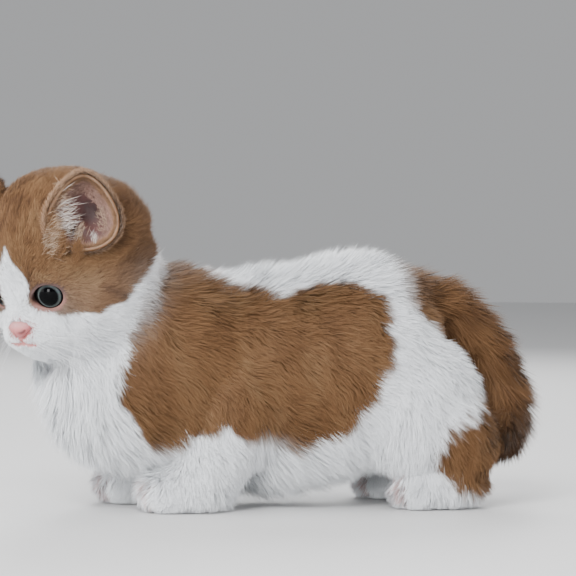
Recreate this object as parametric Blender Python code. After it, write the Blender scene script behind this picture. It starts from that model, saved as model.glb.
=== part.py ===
"""A munchkin kitten, standing, as a still life-size model.

Units are metres. The kitten faces -X, its left side is at -Y, and +Z is up. The flesh is one smooth
body, blended from balls and tapered limbs, and parted by thin cuts into the nodes that a person
would name. Eyes and ears are pieces of their own.
"""

import math

import bmesh
import bpy
import numpy as np
from mathutils import Matrix, Vector

# Driving dimensions
GAP = 0.0003
BODY_VOXEL = 0.0022
BODY_TRIANGLES = 3500
TAIL_TRIANGLES = 320

SPINE_HEIGHT = 0.055
CHEST_WIDTH = 0.064
HIP_WIDTH = 0.070
STANCE = 0.018
HIND_STANCE = 0.021

HEAD_CENTRE = Vector((-0.0925, -0.007, 0.0985))
HEAD_TURN = math.radians(36)
HEAD_NOD = math.radians(23)

EYE_RADIUS = 0.0082
EYE_PLACE = (0.0184, 0.0106, -0.0055)
EYE_TURN = math.radians(22)
EYE_OPENING = (0.0056, 0.0046)
LID = 0.0010

EAR_PLACE = (0.0080, 0.0256, 0.0218)
EAR_HEIGHT = 0.0262
EAR_WIDTH = 0.0236
EAR_DEPTH = 0.0090
EAR_WALL = 0.0018

# The head's own axes: forward to the nose, left, and up
HEADING = Vector((-math.cos(HEAD_TURN), -math.sin(HEAD_TURN), 0))
HEAD_LEFT = Vector((math.sin(HEAD_TURN), -math.cos(HEAD_TURN), 0))
HEAD_FORWARD = HEADING * math.cos(HEAD_NOD) - Vector((0, 0, 1)) * math.sin(HEAD_NOD)
HEAD_UP = HEADING * math.sin(HEAD_NOD) + Vector((0, 0, 1)) * math.cos(HEAD_NOD)

# Where thin cuts part the head from the neck, and the neck from the torso
HEAD_CUT = HEAD_CENTRE + Vector((0.0150, 0.0030, -0.0165))
HEAD_CUT_OUT = Vector((-0.66, -0.13, 0.74))
NECK_CUT = Vector((-0.0660, 0, 0.0620))
NECK_CUT_OUT = Vector((-0.72, 0, 0.69))


def on_head(forward, left, up):
    """A point given along the head's axes, in the kitten's frame."""
    return HEAD_CENTRE + HEAD_FORWARD * forward + HEAD_LEFT * left + HEAD_UP * up


HEAD_AXES = np.array([HEAD_FORWARD, HEAD_LEFT, HEAD_UP])
BODY_AXES = np.eye(3)


def ball(centre, radii, axes=BODY_AXES):
    return {"kind": "ball", "centre": np.array(centre), "radii": np.array(radii), "axes": axes}


def limb(start, end, start_radius, end_radius):
    return {"kind": "limb", "a": np.array(start), "b": np.array(end), "ra": start_radius, "rb": end_radius}


def torso_shapes():
    mid = SPINE_HEIGHT
    return [
        ball((-0.070, 0, mid - 0.004), (0.0245, 0.024, 0.031)),
        ball((-0.048, 0, mid - 0.001), (0.034, CHEST_WIDTH / 2, 0.038)),
        ball((-0.008, 0, mid - 0.003), (0.042, CHEST_WIDTH / 2 + 0.001, 0.040)),
        ball((0.027, 0, mid + 0.002), (0.038, HIP_WIDTH / 2, 0.041)),
    ]


def neck_shapes():
    return [limb((-0.056, 0, 0.058), HEAD_CENTRE + Vector((0.006, 0.002, -0.016)), 0.029, 0.024)]


def head_shapes():
    shapes = [
        ball(on_head(-0.002, 0, 0.003), (0.0320, 0.032, 0.031), HEAD_AXES),
        ball(on_head(-0.014, 0, -0.004), (0.021, 0.026, 0.024), HEAD_AXES),
        ball(on_head(0.0225, 0, -0.0105), (0.0090, 0.0085, 0.0100), HEAD_AXES),
        ball(on_head(0.0280, 0, -0.0170), (0.0050, 0.0048, 0.0042), HEAD_AXES),
        ball(on_head(0.0210, 0, -0.0270), (0.0078, 0.0078, 0.0055), HEAD_AXES),
    ]
    for side in (-1, 1):
        shapes.append(ball(on_head(0.006, side * 0.016, -0.0140), (0.018, 0.0165, 0.0155), HEAD_AXES))
        shapes.append(ball(on_head(0.0250, side * 0.0058, -0.0212), (0.0076, 0.0080, 0.0066), HEAD_AXES))
    return shapes


def foreleg_shapes(side, paw_x):
    y = side * STANCE
    return [
        limb((paw_x + 0.020, y, 0.040), (paw_x + 0.005, y, 0.014), 0.0175, 0.0120),
        ball((paw_x - 0.002, y, 0.0085), (0.0155, 0.0115, 0.0090)),
    ]


def hindleg_shapes(side, paw_x):
    y = side * HIND_STANCE
    return [
        ball((paw_x - 0.006, y * 0.86, 0.040), (0.0255, 0.0175, 0.028)),
        limb((paw_x + 0.012, y, 0.012), (paw_x + 0.010, y, 0.030), 0.0105, 0.0140),
        ball((paw_x, y, 0.0090), (0.0160, 0.0115, 0.0092)),
    ]


# The tail's middle line, its first points inside the rump, with its radius out to the coat's tips
TAIL_PATH = [
    (0.050, 0.001, 0.082), (0.066, 0.002, 0.0765), (0.0785, 0.002, 0.0655), (0.0855, -0.001, 0.051),
    (0.0868, -0.007, 0.038), (0.081, -0.017, 0.0275), (0.070, -0.0270, 0.0205),
]
TAIL_RADII = [0.0130, 0.0125, 0.0118, 0.0115, 0.0112, 0.0105, 0.0070]
TAIL_CORE = 0.66


def smooth_path(points, steps=2):
    """Points along a smooth curve through the given ones."""
    points = np.array(points)
    ends = np.vstack([2 * points[0] - points[1], points, 2 * points[-1] - points[-2]])
    path = []
    for a, b, c, d in zip(ends, ends[1:], ends[2:], ends[3:]):
        for t in np.arange(steps) / steps:
            bend = (2 * a - 5 * b + 4 * c - d) * t * t + (3 * b - a - 3 * c + d) * t ** 3
            path.append((2 * b + (c - a) * t + bend) / 2)
    return np.array(path + [points[-1]])


def tail_shapes():
    path = smooth_path(np.column_stack([TAIL_PATH, TAIL_RADII]))
    return [limb(a[:3], b[:3], a[3] * TAIL_CORE, b[3] * TAIL_CORE) for a, b in zip(path, path[1:])]


FORE_PAW_X = {"left": -0.046, "right": -0.056}
HIND_PAW_X = {"left": 0.0545, "right": 0.052}
SIDES = {"left": -1, "right": 1}

TOE_RADII = (0.0062, 0.0033, 0.0054)


def toe_shapes(side, paw_x, stance):
    """Four toes, the middle two further forward."""
    shapes = []
    for place in (-1.5, -0.5, 0.5, 1.5):
        forward = 0.0108 - 0.0016 * place ** 2
        centre = (paw_x - forward, side * stance + place * 0.0052, 0.0056)
        shapes.append(ball(centre, TOE_RADII))
    return shapes



def blended_groups():
    """Groups of shapes, each with how softly it blends within itself and onto the others."""
    groups = [
        (torso_shapes(), 0.014, 0.014),
        (neck_shapes(), 0.010, 0.014),
        (head_shapes(), 0.006, 0.010),
    ]
    for name, side in SIDES.items():
        groups.append((foreleg_shapes(side, FORE_PAW_X[name]), 0.006, 0.007))
        groups.append((hindleg_shapes(side, HIND_PAW_X[name]), 0.007, 0.007))
        groups.append((toe_shapes(side, FORE_PAW_X[name], STANCE), 0.0012, 0.0025))
        groups.append((toe_shapes(side, HIND_PAW_X[name], HIND_STANCE), 0.0012, 0.0025))
    return groups


def distance_to(shape, points):
    """Signed distance of points from one shape, negative inside."""
    if shape["kind"] == "ball":
        local = (points - shape["centre"]) @ shape["axes"].T
        near = np.linalg.norm(local / shape["radii"], axis=1)
        steep = np.linalg.norm(local / shape["radii"] ** 2, axis=1)
        return near * (near - 1) / np.maximum(steep, 1e-9)
    along = shape["b"] - shape["a"]
    share = np.clip((points - shape["a"]) @ along / (along @ along), 0, 1)
    radius = shape["ra"] + (shape["rb"] - shape["ra"]) * share
    return np.linalg.norm(points - shape["a"] - share[:, None] * along, axis=1) - radius


def soft_min(a, b, soft):
    share = np.maximum(soft - np.abs(a - b), 0) / soft
    return np.minimum(a, b) - share * share * soft / 4


def surface_distance(points, groups):
    """Signed distance of points from the blended shapes, negative inside."""
    total = None
    for shapes, soft, join in groups:
        group = distance_to(shapes[0], points)
        for shape in shapes[1:]:
            group = soft_min(group, distance_to(shape, points), soft)
        total = group if total is None else soft_min(total, group, join)
    return total


def surface_slope(points, groups, step=0.0002):
    """Outward direction of the blended surface at points."""
    here = surface_distance(points, groups)
    slope = np.stack([surface_distance(points + step * axis, groups) - here for axis in np.eye(3)], axis=1)
    return slope / np.maximum(np.linalg.norm(slope, axis=1, keepdims=True), 1e-9)


def onto_surface(points, groups, lift=0.0, rounds=4):
    """Points moved along the slope until they lie on the blended surface, or lift outside it."""
    for _ in range(rounds):
        points = points - (surface_distance(points, groups) - lift)[:, None] * surface_slope(points, groups)
    return points


BODY_GROUPS = blended_groups()
TAIL_GROUPS = [(tail_shapes(), 0.001, 0.001)]


def clear_scene():
    for obj in list(bpy.data.objects):
        bpy.data.objects.remove(obj)


def link(name, mesh):
    obj = bpy.data.objects.new(name, mesh)
    bpy.context.scene.collection.objects.link(obj)
    return obj


def applied(obj):
    """The object with its modifiers applied."""
    graph = bpy.context.evaluated_depsgraph_get()
    mesh = bpy.data.meshes.new_from_object(obj.evaluated_get(graph))
    obj.modifiers.clear()
    obj.data = mesh
    return obj


def copied(obj, name):
    return link(name, obj.data.copy())


def combined(obj, other, operation, solver="EXACT"):
    """The object cut by, met with or joined to another, which is then removed."""
    modifier = obj.modifiers.new(operation.title(), "BOOLEAN")
    modifier.operation = operation
    modifier.solver = solver
    modifier.object = other
    applied(obj)
    bpy.data.objects.remove(other)
    return obj


def mesh_object(name, points, faces):
    bm = bmesh.new()
    verts = [bm.verts.new(p) for p in points]
    for face in faces:
        bm.faces.new([verts[i] for i in face])
    bmesh.ops.recalc_face_normals(bm, faces=bm.faces)
    mesh = bpy.data.meshes.new(name)
    bm.to_mesh(mesh)
    bm.free()
    return link(name, mesh)


def rough_shapes(groups):
    """Overlapping balls and limbs in one object, fused by a voxel remesh."""
    bm = bmesh.new()
    for shape in (shape for shapes, _, _ in groups for shape in shapes):
        if shape["kind"] == "ball":
            turn = Matrix(shape["axes"].T.tolist()).to_4x4()
            place = Matrix.Translation(shape["centre"]) @ turn @ Matrix.Diagonal((*shape["radii"], 1))
            bmesh.ops.create_uvsphere(bm, u_segments=32, v_segments=20, radius=1, matrix=place)
            continue
        points = []
        for centre, radius in ((shape["a"], shape["ra"]), (shape["b"], shape["rb"])):
            place = Matrix.Translation(centre)
            made = bmesh.ops.create_uvsphere(bm, u_segments=24, v_segments=14, radius=radius, matrix=place)
            points += made["verts"]
        hull = bmesh.ops.convex_hull(bm, input=points)
        inner = {v for v in hull["geom_interior"] if isinstance(v, bmesh.types.BMVert)}
        bmesh.ops.delete(bm, geom=list(inner), context="VERTS")
    mesh = bpy.data.meshes.new("rough")
    bm.to_mesh(mesh)
    bm.free()
    obj = link("rough", mesh)
    remesh = obj.modifiers.new("Fuse", "REMESH")
    remesh.mode = "VOXEL"
    remesh.voxel_size = BODY_VOXEL
    return applied(obj)


def moved(obj, groups, lift=0.0):
    """The object with its points moved onto the blended surface, or lift outside it."""
    mesh = obj.data
    points = np.empty(len(mesh.vertices) * 3)
    mesh.vertices.foreach_get("co", points)
    points = onto_surface(points.reshape(-1, 3), groups, lift)
    mesh.vertices.foreach_set("co", points.ravel())
    mesh.update()
    return obj


def smooth_surface(groups, triangles):
    """The rough shapes moved onto the blended surface, then thinned."""
    obj = moved(rough_shapes(groups), groups)
    thin = obj.modifiers.new("Thin", "DECIMATE")
    thin.ratio = triangles / (2 * len(obj.data.polygons))
    return applied(obj)


def hull(name, points):
    """The convex solid round some points."""
    bm = bmesh.new()
    verts = [bm.verts.new(p) for p in points]
    bmesh.ops.convex_hull(bm, input=verts)
    bmesh.ops.recalc_face_normals(bm, faces=bm.faces)
    mesh = bpy.data.meshes.new(name)
    bm.to_mesh(mesh)
    bm.free()
    return link(name, mesh)


def slab(point, outward, grow=0.0, reach=0.15):
    """A block that holds everything on one side of a plane."""
    out = outward.normalized()
    across = out.orthogonal().normalized()
    third = out.cross(across)
    corners = [across * i + third * j for i in (-reach, reach) for j in (-reach, reach)]
    return hull("slab", [point + out * depth + c for depth in (-grow, reach) for c in corners])


# Arches in side view, from the paw's place, where thin cuts part the legs from the torso
FORELEG_ARCH = {"centre": (0.009, 0.018), "radii": (0.030, 0.029)}
HINDLEG_ARCH = {"centre": (-0.005, 0.036), "radii": (0.033, 0.032)}
LEG_REACH = (-0.025, 0.025)


def leg_region(arch, paw_x, side, grow=0.0):
    """A block round a leg, arched at its top, its inner face leaning outwards as it rises."""
    profile = [(x + grow * np.sign(x), -0.01) for x in LEG_REACH]
    for turn in np.linspace(0, math.pi, 15):
        x = arch["centre"][0] + (arch["radii"][0] + grow) * math.cos(turn)
        z = arch["centre"][1] + (arch["radii"][1] + grow) * math.sin(turn)
        profile.append((x, z))
    points = []
    for x, z in profile:
        for y in (0.0012 - grow + 0.2 * max(z, 0), 0.060):
            points.append((paw_x + x, side * y, z))
    return hull("leg_region", points)


def taken(rest, name, region):
    """The part of the rest inside a region, as a node of its own, a gap away from what is left."""
    node = combined(copied(rest, name), region(0.0), "INTERSECT", "MANIFOLD")
    combined(rest, region(GAP), "DIFFERENCE", "MANIFOLD")
    return largest(node)


# Locks of the longer coat

LOCKS = {
    "ridge": {"length": 0.021, "width": 0.0092, "rise": 0.0050, "spacing": 0.0108},
    "rump": {"length": 0.022, "width": 0.0092, "rise": 0.0046, "spacing": 0.0112},
    "bib": {"length": 0.019, "width": 0.0086, "rise": 0.0050, "spacing": 0.0104},
    "fringe": {"length": 0.018, "width": 0.0084, "rise": 0.0064, "spacing": 0.0100},
    "flank": {"length": 0.028, "width": 0.0125, "rise": 0.0030, "spacing": 0.0160},
    "ruff": {"length": 0.018, "width": 0.0088, "rise": 0.0040, "spacing": 0.0116},
    "cheek": {"length": 0.015, "width": 0.0072, "rise": 0.0026, "spacing": 0.0095},
    "feather": {"length": 0.015, "width": 0.0072, "rise": 0.0034, "spacing": 0.0120},
    "brush": {"length": 0.021, "width": 0.0088, "rise": 0.0042, "spacing": 0.0094},
}
LOCK_THICKNESS = 0.0018
TAIL_COAT = 0.0062
LOCK_ROOT = 0.0022
LOCK_SHARES = ((0.0, 0.70), (0.36, 1.0), (0.70, 0.66))


def lie(points):
    """The way the coat lies: back and down the body, down the legs, and forward over the toes."""
    flows = [(BODY_GROUPS[0], (1, 0, -0.45)), (BODY_GROUPS[1], (0.75, 0, -0.66))]
    head_flow = points - np.array(on_head(0.034, 0, -0.006))
    head_flow /= np.linalg.norm(head_flow, axis=1, keepdims=True)
    total = np.zeros_like(points)
    near = []
    for groups, flow in flows + [(BODY_GROUPS[2], head_flow)]:
        near.append((surface_distance(points, [groups]), flow))
    for groups in BODY_GROUPS[3:]:
        near.append((surface_distance(points, [groups]), (0.3, 0, -1)))
    for distance, flow in near:
        total += np.exp(-distance / 0.004)[:, None] * np.array(flow)
    return total


def tail_lie(points):
    path = smooth_path(TAIL_PATH)
    nearest = np.argmin(np.linalg.norm(points[:, None] - path[None, :-1], axis=2), axis=1)
    return path[nearest + 1] - path[nearest]


def coat_kind(point, out):
    """Which locks grow at a place on the body, or None where the coat is short."""
    x, y, z = point
    spot = point[None]
    torso, neck, head = [surface_distance(spot, [group])[0] for group in BODY_GROUPS[:3]]
    if z < 0.010:
        return None
    if head < min(torso, neck):
        back = Vector(point - np.array(HEAD_CENTRE)).dot(HEAD_FORWARD)
        return "cheek" if z < 0.092 and back < 0.004 else None
    if neck < torso:
        return "ruff"
    if x > 0.050:
        return "rump" if z > 0.026 else "feather"
    if z > 0.072 and out[2] > 0.70:
        return "ridge"
    if out[0] < -0.35 and z > 0.018:
        return "bib"
    if z < 0.028 and out[2] < -0.5 and -0.026 < x < 0.026:
        return "fringe"
    if z > 0.026:
        return "flank"
    return "feather" if out[0] > 0.4 else None


def tail_kind(point, out):
    return "brush" if point[0] > 0.060 else None


def clear_of_tail(points):
    """Whether a lock on the body keeps out of the tail's coat and above the floor."""
    points = np.array(points)
    return surface_distance(points, TAIL_GROUPS).min() > TAIL_COAT and points[:, 2].min() > 0.001


def above_floor(points):
    return min(p[2] for p in points) > 0.001


def lock(size, root, out, along, groups):
    """One flat, tapered lock, from inside the core to a tip that lies along the coat."""
    across = np.cross(out, along)
    rings = []
    for share, wide in LOCK_SHARES + ((1.0, 0.0),):
        height = size["rise"] * (1 - (1 - share) ** 2) if share else -LOCK_ROOT
        flat = np.array([root + along * size["length"] * share])
        centre = onto_surface(flat, groups, height, rounds=2)[0]
        upright = surface_slope(centre[None], groups)[0]
        half = across * size["width"] / 2 * wide
        thick = upright * LOCK_THICKNESS / 2 * wide
        rings.append([centre + half, centre + thick, centre - half, centre - thick])
    points = [p for ring in rings[:-1] for p in ring] + [np.mean(rings[-1], axis=0)]
    faces = [(0, 1, 2, 3)]
    for r in range(len(rings) - 2):
        for i in range(4):
            j = (i + 1) % 4
            faces.append((4 * r + i, 4 * r + j, 4 * r + 4 + j, 4 * r + 4 + i))
    last = len(points) - 5
    faces += [(last + i, last + (i + 1) % 4, len(points) - 1) for i in range(4)]
    return points, faces


def grown(obj, groups, kind_at, lie_at, is_free, seed):
    """The object with locks fused onto it wherever its coat is long."""
    random = np.random.default_rng(seed)
    spots = np.array([face.center for face in obj.data.polygons])
    outs = surface_slope(spots, groups)
    flows = lie_at(spots)
    chosen = []
    coat = bpy.data.collections.new("coat")
    for i in random.permutation(len(spots)):
        kind = kind_at(spots[i], outs[i])
        if kind is None:
            continue
        size = dict(LOCKS[kind])
        if any(np.linalg.norm(spots[i] - spots[j]) < size["spacing"] for j in chosen):
            continue
        size["length"] *= random.uniform(0.85, 1.15)
        size["rise"] *= random.uniform(0.75, 1.2)
        swing = flows[i] / np.linalg.norm(flows[i]) + random.normal(0, 0.14, 3)
        along = swing - outs[i] * (swing @ outs[i])
        points, faces = lock(size, spots[i], outs[i], along / np.linalg.norm(along), groups)
        if not is_free(points):
            continue
        chosen.append(i)
        coat.objects.link(mesh_object("lock", points, faces))
    fuse = obj.modifiers.new("Coat", "BOOLEAN")
    fuse.operation = "UNION"
    fuse.solver = "MANIFOLD"
    fuse.operand_type = "COLLECTION"
    fuse.collection = coat
    applied(obj)
    for piece in list(coat.objects):
        bpy.data.objects.remove(piece)
    bpy.data.collections.remove(coat)
    return largest(obj)


def largest(obj):
    """The object with only its largest closed surface."""
    bm = bmesh.new()
    bm.from_mesh(obj.data)
    left = set(bm.verts)
    shells = []
    while left:
        shell = {left.pop()}
        edge = list(shell)
        while edge:
            near = {e.other_vert(v) for v in edge for e in v.link_edges} - shell
            shell |= near
            edge = list(near)
        left -= shell
        shells.append(shell)
    shells.sort(key=len)
    for shell in shells[:-1]:
        bmesh.ops.delete(bm, geom=list(shell), context="VERTS")
    bm.to_mesh(obj.data)
    bm.free()
    return obj


# Eyes and lids


def eye_axes(side):
    """Gaze, the way towards the ear, and up, at one eye."""
    gaze = HEAD_FORWARD * math.cos(EYE_TURN) + HEAD_LEFT * side * math.sin(EYE_TURN)
    up = HEAD_UP
    return gaze, up.cross(gaze) * side, up


def eye_centre(side):
    forward, left, up = EYE_PLACE
    return on_head(forward, side * left, up)


def globe(name, side, radius, segments=22):
    gaze, outer, up = eye_axes(side)
    turn = Matrix((outer * side, up, gaze)).transposed().to_4x4()
    bm = bmesh.new()
    place = Matrix.Translation(eye_centre(side)) @ turn
    bmesh.ops.create_uvsphere(bm, u_segments=segments, v_segments=segments // 2, radius=radius, matrix=place)
    mesh = bpy.data.meshes.new(name)
    bm.to_mesh(mesh)
    bm.free()
    return link(name, mesh)


def lid_opening(side, corners=24, depth=0.016):
    """A prism along the gaze in the outline of the open lids, pointed at the inner corner."""
    gaze, outer, up = eye_axes(side)
    half_width, half_height = EYE_OPENING
    outline = []
    for i in range(corners):
        turn = 2 * math.pi * i / corners
        across, rise = half_width * math.cos(turn), half_height * math.sin(turn)
        inner = max(0.0, -math.cos(turn)) ** 6
        outline.append(outer * (across - 0.0014 * inner) + up * (rise - 0.0009 * inner))
    centre = eye_centre(side)
    points = [centre + p for p in outline] + [centre + p * 1.15 + gaze * depth for p in outline]
    faces = [tuple(range(corners)), tuple(range(corners, 2 * corners))]
    for i in range(corners):
        j = (i + 1) % corners
        faces.append((i, j, j + corners, i + corners))
    return mesh_object("lid_opening", points, faces)


def set_eye(head, name, side):
    """Cuts the socket, adds lids over the globe, opens them, and returns the eye."""
    combined(head, globe("lids", side, EYE_RADIUS + LID), "UNION")
    combined(head, globe("socket", side, EYE_RADIUS + GAP), "DIFFERENCE")
    combined(head, lid_opening(side), "DIFFERENCE")
    return globe(name, side, EYE_RADIUS)


# Ears


def ear_axes(side):
    """Out of the cup, across it to the back of the head, and up to its tip."""
    out = (HEAD_FORWARD * 0.58 + HEAD_LEFT * side * 0.76 + HEAD_UP * 0.26).normalized()
    up = HEAD_UP - HEAD_FORWARD * 0.36 + HEAD_LEFT * side * 0.10
    up = (up - out * up.dot(out)).normalized()
    return out, up.cross(out) * side, up


def ear_ring(side, share, grow, count=22):
    """Points round the cup at a share of its depth, from 0 at the rim to nearly 1 at the bottom."""
    out, back, up = ear_axes(side)
    forward, left, height = EAR_PLACE
    centre = on_head(forward, side * left, height)
    turn = share * math.pi / 2
    points = []
    for i in range(count):
        angle = 2 * math.pi * i / count
        narrow = 1 - 0.34 * math.sin(angle)
        across = (EAR_WIDTH / 2 * narrow + grow) * math.cos(angle) * math.cos(turn)
        rise = (EAR_HEIGHT / 2 + grow) * math.sin(angle) * math.cos(turn) - 0.004 * math.sin(turn)
        deep = (EAR_DEPTH + grow) * math.sin(turn)
        roll = 0.0025 * math.cos(angle) ** 2 * math.cos(turn)
        points.append(centre + back * across + up * rise - out * (deep - roll))
    return points


def ear_bottom(side, grow):
    out, _, up = ear_axes(side)
    forward, left, height = EAR_PLACE
    return on_head(forward, side * left, height) - out * (EAR_DEPTH + grow) - up * 0.004


def rings_to_mesh(name, first, rings, last):
    """A closed mesh through rings of equal count, ended by a point or by a flat cap."""
    count = len(rings[0])
    points = [p for ring in rings for p in ring]
    faces = []
    for r in range(len(rings) - 1):
        for i in range(count):
            j = (i + 1) % count
            faces.append((r * count + i, r * count + j, (r + 1) * count + j, (r + 1) * count + i))
    for tip, start in ((first, 0), (last, (len(rings) - 1) * count)):
        if tip is None:
            faces.append(tuple(range(start, start + count)))
            continue
        points.append(tip)
        for i in range(count):
            faces.append((len(points) - 1, start + i, start + (i + 1) % count))
    return mesh_object(name, points, faces)


def ear(name, side):
    shares = [0.82, 0.62, 0.42, 0.22, 0.06]
    outer = [ear_ring(side, share, EAR_WALL) for share in shares]
    rim = [ear_ring(side, 0.0, EAR_WALL * 0.75), ear_ring(side, 0.0, EAR_WALL * 0.25)]
    inner = [ear_ring(side, share, 0.0) for share in reversed(shares)]
    return rings_to_mesh(name, ear_bottom(side, EAR_WALL), outer + rim + inner, ear_bottom(side, 0.0))


def ear_seat(side, open_out=0.006):
    """What an ear takes out of the head: its outer form with the gap, opened outwards."""
    out, _, _ = ear_axes(side)
    grow = EAR_WALL + GAP
    rings = [ear_ring(side, share, grow) for share in (0.82, 0.62, 0.42, 0.22, 0.06, 0.0)]
    rings.append([p + out * open_out for p in rings[-1]])
    return rings_to_mesh("ear_seat", ear_bottom(side, grow), rings, None)


# Mouth and nostrils


def groove(points, radius):
    """A tube through points, used as a cutter."""
    curve = bpy.data.curves.new("groove", "CURVE")
    curve.dimensions = "3D"
    curve.bevel_depth = radius
    curve.bevel_resolution = 1
    curve.use_fill_caps = True
    spline = curve.splines.new("POLY")
    spline.points.add(len(points) - 1)
    for point, place in zip(spline.points, points):
        point.co = (*place, 1)
    obj = link("groove", curve)
    graph = bpy.context.evaluated_depsgraph_get()
    mesh = bpy.data.meshes.new_from_object(obj.evaluated_get(graph))
    bpy.data.objects.remove(obj)
    bm = bmesh.new()
    bm.from_mesh(mesh)
    bmesh.ops.remove_doubles(bm, verts=bm.verts, dist=1e-6)
    bmesh.ops.recalc_face_normals(bm, faces=bm.faces)
    bm.to_mesh(mesh)
    bm.free()
    return link("groove", mesh)


MOUTH_LINE = [(0.0004, -0.0240), (0.0026, -0.0252), (0.0052, -0.0256), (0.0076, -0.0250), (0.0094, -0.0238)]


def cut_face(head):
    """The philtrum, the line of the mouth on each side, and the nostrils."""
    philtrum = [on_head(0.034, 0, up) for up in (-0.0196, -0.0220, -0.0246)]
    lines = [(philtrum, 0.0004)]
    for side in (-1, 1):
        line = [on_head(0.028 - abs(left) * 0.35, side * left, up) for left, up in MOUTH_LINE]
        lines.append((line, 0.0006))
    for points, radius in lines:
        on_skin = onto_surface(np.array(points, float), BODY_GROUPS)
        combined(head, groove(on_skin, radius), "DIFFERENCE")
    for side in (-1, 1):
        mouth_of = onto_surface(np.array([on_head(0.034, side * 0.0023, -0.0172)], float), BODY_GROUPS)[0]
        inwards = np.array(HEAD_FORWARD * -1 + HEAD_LEFT * side * 0.5)
        combined(head, groove([mouth_of - inwards * 0.0006, mouth_of + inwards * 0.0014], 0.0008), "DIFFERENCE")


# Putting the nodes together

COLOURS = {
    "ginger": (0.42, 0.20, 0.07, 1), "white": (0.80, 0.80, 0.80, 1),
    "eye": (0.05, 0.06, 0.08, 1), "ear": (0.45, 0.26, 0.22, 1),
}


def finished(obj, colour):
    """Shades the node, and gives it a material of its own."""
    material = bpy.data.materials.new(obj.name)
    material.use_nodes = True
    material.diffuse_color = COLOURS[colour]
    surface = material.node_tree.nodes["Principled BSDF"]
    surface.inputs["Base Color"].default_value = COLOURS[colour]
    surface.inputs["Roughness"].default_value = 0.15 if colour == "eye" else 0.8
    obj.data.materials.clear()
    obj.data.materials.append(material)
    obj.data.shade_smooth()
    obj.data.set_sharp_from_angle(angle=math.radians(40))
    return obj


def centred(objects):
    """Moves every mesh so that the whole is centred over the origin and stands on the floor."""
    corners = np.array([v.co for obj in objects for v in obj.data.vertices])
    low, high = corners.min(axis=0), corners.max(axis=0)
    shift = Vector((-(low[0] + high[0]) / 2, -(low[1] + high[1]) / 2, -low[2]))
    for obj in objects:
        obj.data.transform(Matrix.Translation(shift))


def main():
    clear_scene()
    rest = smooth_surface(BODY_GROUPS, BODY_TRIANGLES)
    rest.name = "torso"
    cleared = moved(copied(rest, "cleared"), BODY_GROUPS, GAP)
    grown(rest, BODY_GROUPS, coat_kind, lie, clear_of_tail, seed=4)
    combined(rest, slab(Vector((0, 0, 0)), Vector((0, 0, -1))), "DIFFERENCE", "MANIFOLD")
    tail = smooth_surface(TAIL_GROUPS, TAIL_TRIANGLES)
    tail.name = "tail"
    grown(tail, TAIL_GROUPS, tail_kind, tail_lie, above_floor, seed=5)
    largest(combined(tail, cleared, "DIFFERENCE", "MANIFOLD"))
    head = taken(rest, "head", lambda grow: slab(HEAD_CUT, HEAD_CUT_OUT, grow))
    neck = taken(rest, "neck", lambda grow: slab(NECK_CUT, NECK_CUT_OUT, grow))
    pieces = [(rest, "ginger"), (head, "ginger"), (neck, "white"), (tail, "ginger")]
    for name, side in SIDES.items():
        for leg, arch, paws in (("fore", FORELEG_ARCH, FORE_PAW_X), ("hind", HINDLEG_ARCH, HIND_PAW_X)):
            node = taken(rest, f"{leg}leg_{name}", lambda grow: leg_region(arch, paws[name], side, grow))
            pieces.append((node, "white"))
        combined(head, ear_seat(-side), "DIFFERENCE")
        pieces.append((ear("ear_" + name, -side), "ear"))
        pieces.append((set_eye(head, "eye_" + name, -side), "eye"))
    cut_face(head)
    largest(rest)
    for obj, colour in pieces:
        finished(obj, colour)
    centred([obj for obj, _ in pieces])


main()
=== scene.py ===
"""The look of a standing munchkin kitten: skin, coat, eyes, ears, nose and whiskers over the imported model."""

import math

import bmesh
import bpy
import numpy as np
from mathutils import Matrix, Vector


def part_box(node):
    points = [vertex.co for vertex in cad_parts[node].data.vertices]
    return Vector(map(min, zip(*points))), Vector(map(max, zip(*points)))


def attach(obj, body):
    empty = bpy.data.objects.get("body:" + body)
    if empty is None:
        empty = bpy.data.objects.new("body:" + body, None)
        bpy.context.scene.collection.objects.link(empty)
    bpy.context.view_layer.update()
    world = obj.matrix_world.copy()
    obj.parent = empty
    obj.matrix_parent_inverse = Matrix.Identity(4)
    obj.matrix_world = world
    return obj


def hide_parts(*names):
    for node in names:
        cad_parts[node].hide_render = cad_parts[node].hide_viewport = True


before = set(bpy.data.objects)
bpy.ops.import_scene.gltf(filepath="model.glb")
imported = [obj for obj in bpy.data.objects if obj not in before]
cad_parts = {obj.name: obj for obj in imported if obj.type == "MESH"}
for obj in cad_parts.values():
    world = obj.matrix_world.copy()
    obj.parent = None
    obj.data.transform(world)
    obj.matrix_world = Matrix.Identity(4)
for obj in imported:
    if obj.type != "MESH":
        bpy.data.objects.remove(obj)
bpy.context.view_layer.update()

# Named sizes, as in the part, in metres

SPINE_HEIGHT = 0.055
CHEST_WIDTH = 0.064
HIP_WIDTH = 0.070
STANCE = 0.018
HIND_STANCE = 0.021

HEAD_CENTRE = Vector((-0.0925, -0.007, 0.0985))
HEAD_TURN = math.radians(36)
HEAD_NOD = math.radians(23)

EYE_RADIUS = 0.0082
EYE_PLACE = (0.0184, 0.0106, -0.0055)
EYE_TURN = math.radians(22)
EYE_OPENING = (0.0056, 0.0046)
LID = 0.0010

EAR_PLACE = (0.0080, 0.0256, 0.0218)
EAR_HEIGHT = 0.0262
EAR_WIDTH = 0.0236
EAR_DEPTH = 0.0090
EAR_WALL = 0.0018
EAR_TAPER = 0.34
EAR_SAG = 0.004

TAIL_PATH = [
    (0.050, 0.001, 0.082), (0.066, 0.002, 0.0765), (0.0785, 0.002, 0.0655), (0.0855, -0.001, 0.051),
    (0.0868, -0.007, 0.038), (0.081, -0.017, 0.0275), (0.070, -0.0270, 0.0205),
]
TAIL_RADII = [0.0130, 0.0125, 0.0118, 0.0115, 0.0112, 0.0105, 0.0070]
TAIL_CORE = 0.66

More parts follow.
